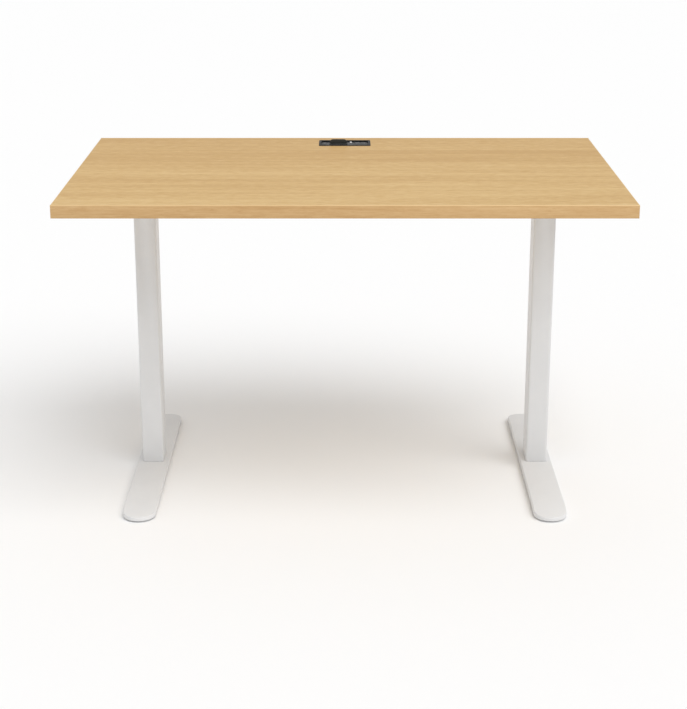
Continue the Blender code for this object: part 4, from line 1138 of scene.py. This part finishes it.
@dataclass
class ControlBox:
    """Moulded box under the worktop: cover, eared base, mains inlet and plug sockets."""

    palette: Palette
    wall: float = 0.0025
    corner: float = 0.008
    edge: float = 0.0030
    ear_corner: float = 0.006
    inlet_x: float = -0.062
    inlet_size: tuple[float, float, float] = (0.0245, 0.0200, 0.0170)
    plug_x: tuple[float, ...] = (-0.012, 0.024, 0.060)
    plug_size: tuple[float, float, float] = (0.0120, 0.0120, 0.0085)
    vents: int = 12
    body: str = "upper"

    def build(self) -> None:
        """Model the cover, the base and the pins."""
        self.build_cover()
        self.build_base()
        self.build_pins()

    def pocket(self, name: str, x: float, size: tuple[float, float, float],
               grow: float = 0.0) -> bpy.types.Object:
        """A block for a socket in the rear wall."""
        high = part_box("control_box_cover")[1]
        level = self.level
        return box(name, (x - size[0] / 2 - grow, high.y - size[1] - grow, level - size[2] / 2 - grow),
                   (x + size[0] / 2 + grow, high.y + (0.01 if grow == 0.0 else -self.wall / 2),
                    level + size[2] / 2 + grow))

    @property
    def level(self) -> float:
        """Height of the sockets' middle: half way up the cover and its joint with the base."""
        low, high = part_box("control_box_cover")
        return (low.z + high.z + 0.0003) / 2

    def build_cover(self) -> None:
        """Rounded shell with vent slots below and pockets behind."""
        low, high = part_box("control_box_cover")
        cover = slab("control_cover", low, high, self.corner)
        with editing(cover):
            pick_edges(cover, at_level(low.z))
            round_picked(self.edge, 5)
        wall = self.wall
        inside = slab("cover_inside", (low.x + wall, low.y + wall, low.z + wall),
                      (high.x - wall, high.y - wall, high.z + 0.01), self.corner - wall)
        cut(cover, inside)
        sockets = [(self.inlet_x, self.inlet_size)] + [(x, self.plug_size) for x in self.plug_x]
        for x, size in sockets:
            merge(cover, self.pocket("socket_boss", x, size, 0.0018))
            cut(cover, self.pocket("socket_pocket", x, size))
        pitch = 0.0065
        start = -pitch * (self.vents - 1) / 2
        middle_y = (low.y + high.y) / 2
        for number in range(self.vents):
            x = start + pitch * number
            slot = slab("vent", (x - 0.0012, middle_y - 0.030, low.z - 0.01), (x + 0.0012, middle_y + 0.012,
                        low.z + wall + 0.001), 0.00115, 4)
            cut(cover, slot)
        hand_over(cover, self.body, Slot.BLACK, self.palette.black, "control_box_cover")

    def build_base(self) -> None:
        """Base plate with an ear at each end."""
        low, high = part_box("control_box_base")
        cover_low, cover_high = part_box("control_box_cover")
        base = slab("control_base", (cover_low.x, cover_low.y, low.z), (cover_high.x, cover_high.y, high.z),
                    self.corner)
        middle_y = (low.y + high.y) / 2
        half = (high.y - low.y) * 0.15
        merge(base, slab("control_ears", (low.x, middle_y - half, low.z),
                         (high.x, middle_y + half, high.z), self.ear_corner))
        soften(base, 0.0005, 2, 60.0)
        hand_over(base, self.body, Slot.BLACK, self.palette.black, "control_box_base")

    def build_pins(self) -> None:
        """Three flat pins in the mains inlet and round contacts in the plug sockets."""
        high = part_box("control_box_cover")[1]
        level = self.level
        floor = high.y - self.inlet_size[1]
        for number, (x, z) in enumerate(((-0.007, -0.002), (0.007, -0.002), (0.0, 0.0030)), start=1):
            centre = self.inlet_x + x
            pin = box("inlet_pin_" + str(number), (centre - 0.0010, floor - 0.001, level + z - 0.0020),
                      (centre + 0.0010, floor + 0.0150, level + z + 0.0020))
            soften(pin, 0.0005, 3, 60.0)
            hand_over(pin, self.body, Slot.PORT, self.palette.port)
        floor = high.y - self.plug_size[1]
        for row, x in enumerate(self.plug_x, start=1):
            for number in range(4):
                centre = (x + (number - 1.5) * 0.0024, floor - 0.001, level)
                profile = [(0.0004, 0.0), (0.0004, 0.0070), (0.0002, 0.0074)]
                pin = turned("plug_pin_" + str(row) + "_" + str(number + 1), profile, centre, Axis.REAR, 12)
                hand_over(pin, self.body, Slot.BRASS, self.palette.gold)


# ---- hand switch ----

@dataclass
class HandSwitch:
    """Low housing under the front edge with an up and a down button."""

    palette: Palette
    corner: float = 0.006
    wall: float = 0.0018
    edge: float = 0.0018
    ear_height: float = 0.0025
    mark: float = 0.0022
    flange: float = 0.0015
    lip: float = 0.0010
    body: str = "upper"

    def build(self) -> None:
        """Model the housing, the buttons and their arrows."""
        self.build_housing()
        self.build_button("up_button", 1)
        self.build_button("down_button", -1)

    def build_housing(self) -> None:
        """Shell with windows for the buttons and an ear at each end."""
        low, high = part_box("hand_switch_housing")
        ear = 0.010
        shell = slab("switch_shell", (low.x + ear, low.y, low.z), (high.x - ear, high.y, high.z), self.corner)
        with editing(shell):
            pick_edges(shell, at_level(low.z))
            round_picked(self.edge, 5)
        middle_y = (low.y + high.y) / 2
        reach = (high.y - low.y) * 0.225
        ears = slab("switch_ears", (low.x, middle_y - reach, high.z - self.ear_height),
                    (high.x, middle_y + reach, high.z), 0.004)
        merge(shell, ears)
        wall = self.wall
        inside = slab("switch_inside", (low.x + ear + wall, low.y + wall, low.z + wall),
                      (high.x - ear - wall, high.y - wall, high.z + 0.01), self.corner - wall)
        cut(shell, inside)
        for node in ("up_button", "down_button"):
            start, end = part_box(node)
            flange = self.flange - CLEAR
            level = (start.z + end.z) / 2
            half = (end.z - start.z) / 2 - self.lip + CLEAR
            cut(shell, box("window", (start.x + flange, start.y - 0.002, level - half),
                           (end.x - flange, low.y + wall + 0.001, level + half)))
        hand_over(shell, self.body, Slot.BLACK, self.palette.black, "hand_switch_housing")

    def build_button(self, node: str, way: int) -> None:
        """A crowned key with an arrow printed on its face.

        Args:
            node: The CAD button.
            way: 1 for an arrow that points up, -1 for down.
        """
        low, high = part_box(node)
        key = box(node + "_key", (low.x + self.flange, low.y, low.z + self.lip),
                  (high.x - self.flange, high.y - 0.001, high.z - self.lip))
        with editing(key):
            pick_edges(key, lambda middle, along: abs(along.y) > 0.99)
            round_picked(0.0012, 5)
            pick_faces(key, lambda centre, normal: normal.y < -0.9)
            bpy.ops.mesh.inset(thickness=0.0009, depth=0.0)
            bpy.ops.mesh.inset(thickness=0.0006, depth=-0.00025)
        soften(key, 0.0002, 2, 25.0)
        merge(key, box("key_flange", (low.x, high.y - 0.0012, low.z), (high.x, high.y, high.z)))
        hand_over(key, node, Slot.GLOSS, self.palette.gloss, node)
        centre = ((low.x + high.x) / 2, low.y + 0.00035, (low.z + high.z) / 2)
        arrow = turned(node + "_arrow", [(self.mark, -0.0003), (self.mark, 0.0003)], (0, 0, 0), Axis.FRONT, 3)
        tip = Vector(max((vert.co for vert in arrow.data.vertices), key=lambda co: co.length))
        turn = math.atan2(tip.x, tip.z)
        point = Matrix.Rotation(-turn + (0.0 if way > 0 else math.pi), 4, "Y")
        arrow.data.transform(Matrix.Translation(centre) @ point)
        hand_over(arrow, node, Slot.BUTTON, self.palette.mark)


# ---- module let into the worktop ----

@dataclass
class CableModule:
    """Module in the worktop: rim, faceplate, lid, ports, button and housing."""

    palette: Palette
    rim_corner: float = 0.0040
    rim_width: float = 0.0060
    rim_wall: float = 0.0025
    rim_edge: float = 0.0007
    lid_shoulder: float = 0.0090
    lug_width: float = 0.0018
    slot_start: float = 0.0003
    slot_end: float = 0.0007
    slot_depth: float = 0.0082
    body: str = "upper"

    def build(self) -> None:
        """Model every piece of the module."""
        self.build_rim()
        self.build_faceplate()
        self.build_housing()
        self.build_lid()
        self.build_usb_a()
        self.build_usb_c()
        self.build_button()

    def inside(self) -> tuple[Vector, Vector]:
        """The faceplate's box, which the rim's opening fits."""
        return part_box("module_faceplate")

    def build_rim(self) -> None:
        """Low rounded rim with a skirt down into the cut-out."""
        low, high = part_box("module_rim")
        top_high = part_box("worktop_laminate")[1]
        rim = slab("rim", (low.x, low.y, top_high.z + 0.0001), high, self.rim_corner)
        with editing(rim):
            pick_edges(rim, at_level(high.z))
            round_picked(self.rim_edge, 4)
        skirt_inset = self.rim_width - self.rim_wall
        merge(rim, box("rim_skirt", (low.x + skirt_inset, low.y + skirt_inset, low.z),
                       (high.x - skirt_inset, high.y - skirt_inset, top_high.z + self.rim_edge)))
        face_low, face_high = self.inside()
        opening = box("rim_opening", (face_low.x - CLEAR, face_low.y - CLEAR, low.z - 0.01),
                      (face_high.x + CLEAR, face_high.y + CLEAR, high.z + 0.01))
        cut(rim, opening)
        centre = (face_low + face_high) / 2
        half_x = face_high.x + CLEAR + NEAR
        half_y = (face_high.y - face_low.y) / 2 + 0.0004
        with editing(rim):
            pick_edges(rim, lambda middle, along: abs(middle.z - high.z) < NEAR
                       and abs(middle.x) < half_x and abs(middle.y - centre.y) < half_y)
            round_picked(0.0004, 3)
        hand_over(rim, self.body, Slot.BLACK, self.palette.black, "module_rim")

    def window(self, node: str, grow: float, corner: float = 0.0) -> bpy.types.Object:
        """A cutter round a CAD node, as deep as the faceplate."""
        low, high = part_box(node)
        face_low, face_high = self.inside()
        start = (low.x - grow, low.y - grow, face_low.z - 0.01)
        end = (high.x + grow, high.y + grow, face_high.z + 0.01)
        return slab("window", start, end, corner, 6) if corner else box("window", start, end)

    def cable_way(self, name: str, bottom: float, top: float) -> bpy.types.Object:
        """A cutter for the cables' way, behind the lid's hinge."""
        low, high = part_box("module_cable_lid")
        front = high.y + self.slot_start
        return slab(name, (low.x + self.slot_end, front, bottom),
                    (high.x - self.slot_end, front + self.slot_depth, top), 0.0015, 5)

    def build_faceplate(self) -> None:
        """Polished panel with its windows, a moulded recess round the ports, and the lid's lugs."""
        low, high = self.inside()
        button_low, button_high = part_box("module_power_button")
        lid_low, lid_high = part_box("module_cable_lid")
        usb_low, usb_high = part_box("module_usb_a_block")
        face_top = usb_high.z
        plate = box("faceplate", (low.x, low.y, low.z), (high.x, high.y, face_top))
        soften(plate, 0.0003, 2, 60.0)
        cut(plate, self.cable_way("cable_slot", low.z - 0.01, face_top + 0.01))
        flange = 0.0015
        port = box("usb_window", (usb_low.x + flange, usb_low.y + flange, low.z - 0.01),
                   (usb_high.x - flange, usb_high.y - flange, face_top + 0.01))
        cut(plate, port)
        cut(plate, self.window("module_usb_c_port", 0.0002, 0.0015))
        middle = (button_low + button_high) / 2
        radius = (button_high.x - button_low.x) / 2 - 0.0012
        cut(plate, turned("button_hole", [(radius + 0.0003, -0.01), (radius + 0.0003, 0.01)],
                          (middle.x, middle.y, face_top), sides=32))
        ring = turned("button_ring", [(radius + 0.0016, -0.0003), (radius + 0.0020, 0.001)],
                      (middle.x, middle.y, face_top), sides=40)
        cut(plate, ring)
        for x in (lid_low.x, lid_high.x - self.lug_width):
            lug = box("lug", (x, lid_low.y, low.z + 0.001), (x + self.lug_width, lid_high.y, high.z))
            with editing(lug):
                pick_edges(lug, lambda at, along: abs(along.x) > 0.99 and at.z > face_top)
                round_picked(0.0009, 4)
            merge(plate, lug)
        hand_over(plate, self.body, Slot.GLOSS, self.palette.gloss, "module_faceplate")

    def build_housing(self) -> None:
        """Open box below the faceplate with vents, a supply jack and the cables' way out."""
        low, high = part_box("module_housing")
        wall = 0.0020
        housing = slab("module_box", low, high, 0.0020, 5)
        with editing(housing):
            pick_edges(housing, at_level(low.z))
            round_picked(0.0018, 4)
        cut(housing, box("housing_inside", (low.x + wall, low.y + wall, low.z + wall),
                         (high.x - wall, high.y - wall, high.z + 0.01)))
        cut(housing, self.cable_way("way_out", low.z - 0.01, low.z + 2 * wall))
        jack = (high.x, (low.y + high.y) / 2, low.z + (high.z - low.z) * 0.25)
        cut(housing, turned("jack", [(0.0030, -0.006), (0.0030, 0.006)], jack, Axis.RIGHT, 24))
        for number in range(6):
            x = low.x + 0.014 + 0.005 * number
            cut(housing, slab("housing_vent", (x, high.y - 0.030, low.z - 0.01), (x + 0.0020, high.y - 0.010,
                              low.z + wall + 0.001), 0.00095, 4))
        hand_over(housing, self.body, Slot.BLACK, self.palette.black, "module_housing")

    def build_lid(self) -> None:
        """Arched lid standing open on its hinge."""
        low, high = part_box("module_cable_lid")
        middle = (low + high) / 2
        barrel = (high.y - low.y) / 2
        axis_z = low.z + barrel
        leaf_half = 0.0008
        lug = self.lug_width + 0.0003
        half = (high.x - low.x) / 2
        leaf = box("lid", (low.x, middle.y - leaf_half, axis_z + 0.0027),
                   (high.x, middle.y + leaf_half, high.z))
        with editing(leaf):
            pick_edges(leaf, lambda at, along: abs(along.y) > 0.99 and at.z > high.z - NEAR)
            round_picked(self.lid_shoulder, 10)
        soften(leaf, 0.0004, 3, 50.0)
        neck = half - lug
        merge(leaf, box("lid_neck", (middle.x - neck, middle.y - leaf_half * 0.9, axis_z),
                        (middle.x + neck, middle.y + leaf_half * 0.9, axis_z + 0.0035)))
        axis = (middle.x, middle.y, axis_z)
        eased = neck - 0.0002
        profile = [(barrel * 0.9, -neck), (barrel, -eased), (barrel, eased), (barrel * 0.9, neck)]
        merge(leaf, turned("lid_barrel", profile, axis, Axis.RIGHT, 28))
        pin_end = half - 0.0002
        merge(leaf, turned("lid_pins", [(0.0008, -pin_end), (0.0008, pin_end)], axis, Axis.RIGHT, 18))
        hand_over(leaf, "cable_lid", Slot.GLOSS, self.palette.lid, "module_cable_lid")

    def build_usb_a(self) -> None:
        """Bright shells, dark tongues and gold contacts of the two wide ports."""
        low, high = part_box("module_usb_a_block")
        flange = 0.0015
        middle = (low + high) / 2
        pitch = 0.0145
        wide, deep, depth = 0.0126, 0.0052, 0.0100
        block = box("usb_a_body", (low.x + flange, low.y + flange, low.z),
                    (high.x - flange, high.y - flange, high.z))
        soften(block, 0.0003, 2, 60.0)
        foot_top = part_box("module_faceplate")[0].z - 0.0002
        merge(block, box("usb_foot", (low.x, low.y, foot_top - flange), (high.x, high.y, foot_top)))
        for end in (-1, 1):
            x = middle.x + end * pitch / 2
            cut(block, box("port", (x - wide / 2, middle.y - deep / 2, high.z - depth),
                           (x + wide / 2, middle.y + deep / 2, high.z + 0.01)))
        hand_over(block, self.body, Slot.GLOSS, self.palette.black, "module_usb_a_block")
        for number, end in enumerate((-1, 1), start=1):
            x = middle.x + end * pitch / 2
            thin = 0.0001
            shell = sleeve("usb_a_shell_" + str(number),
                           (x - wide / 2 + thin, middle.y - deep / 2 + thin, high.z - depth),
                           (x + wide / 2 - thin, middle.y + deep / 2 - thin, high.z - thin),
                           0.0004, 0.0003, thin)
            hand_over(shell, self.body, Slot.PORT, self.palette.port)
            tongue = box("usb_a_tongue_" + str(number), (x - wide / 2 + 0.0007, middle.y - 0.0001,
                         high.z - depth - 0.001), (x + wide / 2 - 0.0007, middle.y + 0.0017, high.z - 0.0013))
            soften(tongue, 0.0002, 2, 60.0)
            hand_over(tongue, self.body, Slot.BUTTON, self.palette.mark)
            for contact in range(4):
                start = x + (contact - 1.5) * 0.0024 - 0.0005
                strip = box("usb_a_contact_" + str(number) + "_" + str(contact + 1),
                            (start, middle.y - 0.0003, high.z - depth),
                            (start + 0.0010, middle.y - 0.0001, high.z - 0.0018))
                soften(strip, 0.00004, 1, 60.0)
                hand_over(strip, self.body, Slot.BRASS, self.palette.gold)

    def build_usb_c(self) -> None:
        """Rounded bright shell of the small port with its tongue."""
        low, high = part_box("module_usb_c_port")
        corner = (high.y - low.y) / 2 - 0.0001
        shell = slab("usb_c_shell", low, high, corner, 8)
        wall = 0.0004
        cut(shell, slab("usb_c_hole", (low.x + wall, low.y + wall, low.z + wall),
                        (high.x - wall, high.y - wall, high.z + 0.01), corner - wall, 8))
        soften(shell, 0.0001, 2, 60.0)
        hand_over(shell, self.body, Slot.PORT, self.palette.port, "module_usb_c_port")
        middle = (low + high) / 2
        tongue = box("usb_c_tongue", (low.x + 0.0014, middle.y - 0.00035, low.z + 0.0002),
                     (high.x - 0.0014, middle.y + 0.00035, high.z - 0.0012))
        soften(tongue, 0.0001, 2, 60.0)
        hand_over(tongue, self.body, Slot.BLACK, self.palette.black)

    def build_button(self) -> None:
        """White round button with a soft edge and a shallow dish."""
        low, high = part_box("module_power_button")
        middle = (low + high) / 2
        flange = (high.x - low.x) / 2
        radius = flange - 0.0012
        height = high.z - low.z
        profile = [(flange, 0.0), (flange, 0.0010), (radius, 0.0010), (radius, height - 0.0009)]
        dish = ((0.0002, 0.0004), (0.0006, 0.0001), (0.0010, 0.0), (0.0014, 0.0001))
        profile += [(radius - inwards, height - drop) for inwards, drop in dish]
        profile.append((radius * 0.25, height - 0.0003))
        button = turned("power_button_cap", profile, (middle.x, middle.y, low.z), sides=40)
        hand_over(button, "power_button", Slot.BUTTON, self.palette.button, "module_power_button")


# ---- studio ----

@dataclass
class Studio:
    """Pale floor, soft lights and the camera."""

    focal: float = 84.3
    pitch: float = 17.85
    eye_x: float = -0.003
    eye_back: float = 3.357
    eye_above: float = 0.757
    floor_size: float = 40.0
    floor_tone: float = 0.95
    surround: float = 0.66
    sun_strength: float = 1.50
    sun_angle: float = 50.0
    sun_from: Point = (0.35, -0.45, 0.82)

    def build(self, top_height: float, front: float) -> None:
        """Set the floor, the lights and the camera.

        Args:
            top_height: Height of the worktop's top face.
            front: Y of the worktop's front edge.
        """
        self.build_floor()
        self.build_lights()
        self.build_camera(top_height, front)
        scene = bpy.context.scene
        scene.view_settings.view_transform = "Standard"
        scene.view_settings.look = "None"

    def build_floor(self) -> None:
        """One wide pale sheet."""
        bpy.ops.object.select_all(action="DESELECT")
        bpy.ops.mesh.primitive_plane_add(size=self.floor_size)
        floor = bpy.context.object
        floor.name = "studio_floor"
        material = bpy.data.materials.new("studio_floor")
        material.use_nodes = True
        shader = material.node_tree.nodes["Principled BSDF"]
        shader.inputs["Base Color"].default_value = (self.floor_tone, self.floor_tone, self.floor_tone, 1.0)
        shader.inputs["Roughness"].default_value = 0.9
        shader.inputs["Specular IOR Level"].default_value = 0.1
        floor.data.materials.append(material)

    def build_lights(self) -> None:
        """An even surround and one broad sun, as from a bank of soft boxes above the front right."""
        world = bpy.data.worlds.new("studio_surround")
        bpy.context.scene.world = world
        world.use_nodes = True
        tree = Tree(world.node_tree)
        surround = world.node_tree.nodes["Background"]
        surround.inputs["Color"].default_value = (1.0, 1.0, 1.0, 1.0)
        seen = tree.add("ShaderNodeLightPath").outputs["Is Camera Ray"]
        world.node_tree.links.new(tree.span(seen, 0.0, 1.0, self.surround, 1.0), surround.inputs["Strength"])
        data = bpy.data.lights.new("soft_sun", "SUN")
        data.energy = self.sun_strength
        data.angle = math.radians(self.sun_angle)
        sun = bpy.data.objects.new("soft_sun", data)
        sun.rotation_euler = Vector(self.sun_from).to_track_quat("Z", "Y").to_euler()
        bpy.context.scene.collection.objects.link(sun)

    def build_camera(self, top_height: float, front: float) -> None:
        """Square to the front edge, looking down."""
        data = bpy.data.cameras.new("camera")
        data.lens = self.focal
        data.sensor_width = 36.0
        data.clip_end = 100.0
        camera = bpy.data.objects.new("camera", data)
        camera.location = (self.eye_x, front - self.eye_back, top_height + self.eye_above)
        camera.rotation_euler = (math.radians(90.0 - self.pitch), 0.0, 0.0)
        bpy.context.scene.collection.objects.link(camera)
        bpy.context.scene.camera = camera


def main() -> None:
    """Build the desk's looks piece by piece, then the studio."""
    logging.basicConfig(level=logging.INFO, format="%(name)s: %(message)s")
    low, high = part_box("worktop_edge_band")
    palette = Palette(high.z)
    Studio().build(high.z, low.y)
    Worktop(palette).build()
    for side in Side:
        Leg(side, palette).build()
    ControlBox(palette).build()
    HandSwitch(palette).build()
    CableModule(palette).build()
    screws = ScrewPattern()
    pattern = screws.build()
    nodes = [side.value + "_bracket_screw_" + str(number) for side in Side for number in range(1, 5)]
    nodes += ["control_box_screw_1", "control_box_screw_2", "hand_switch_screw_1", "hand_switch_screw_2"]
    for node in nodes:
        screws.place(pattern, node, "upper", palette.zinc)
    bpy.data.objects.remove(pattern, do_unlink=True)
    LOG.info("%d screws placed", len(nodes))


if __name__ == "__main__":
    main()
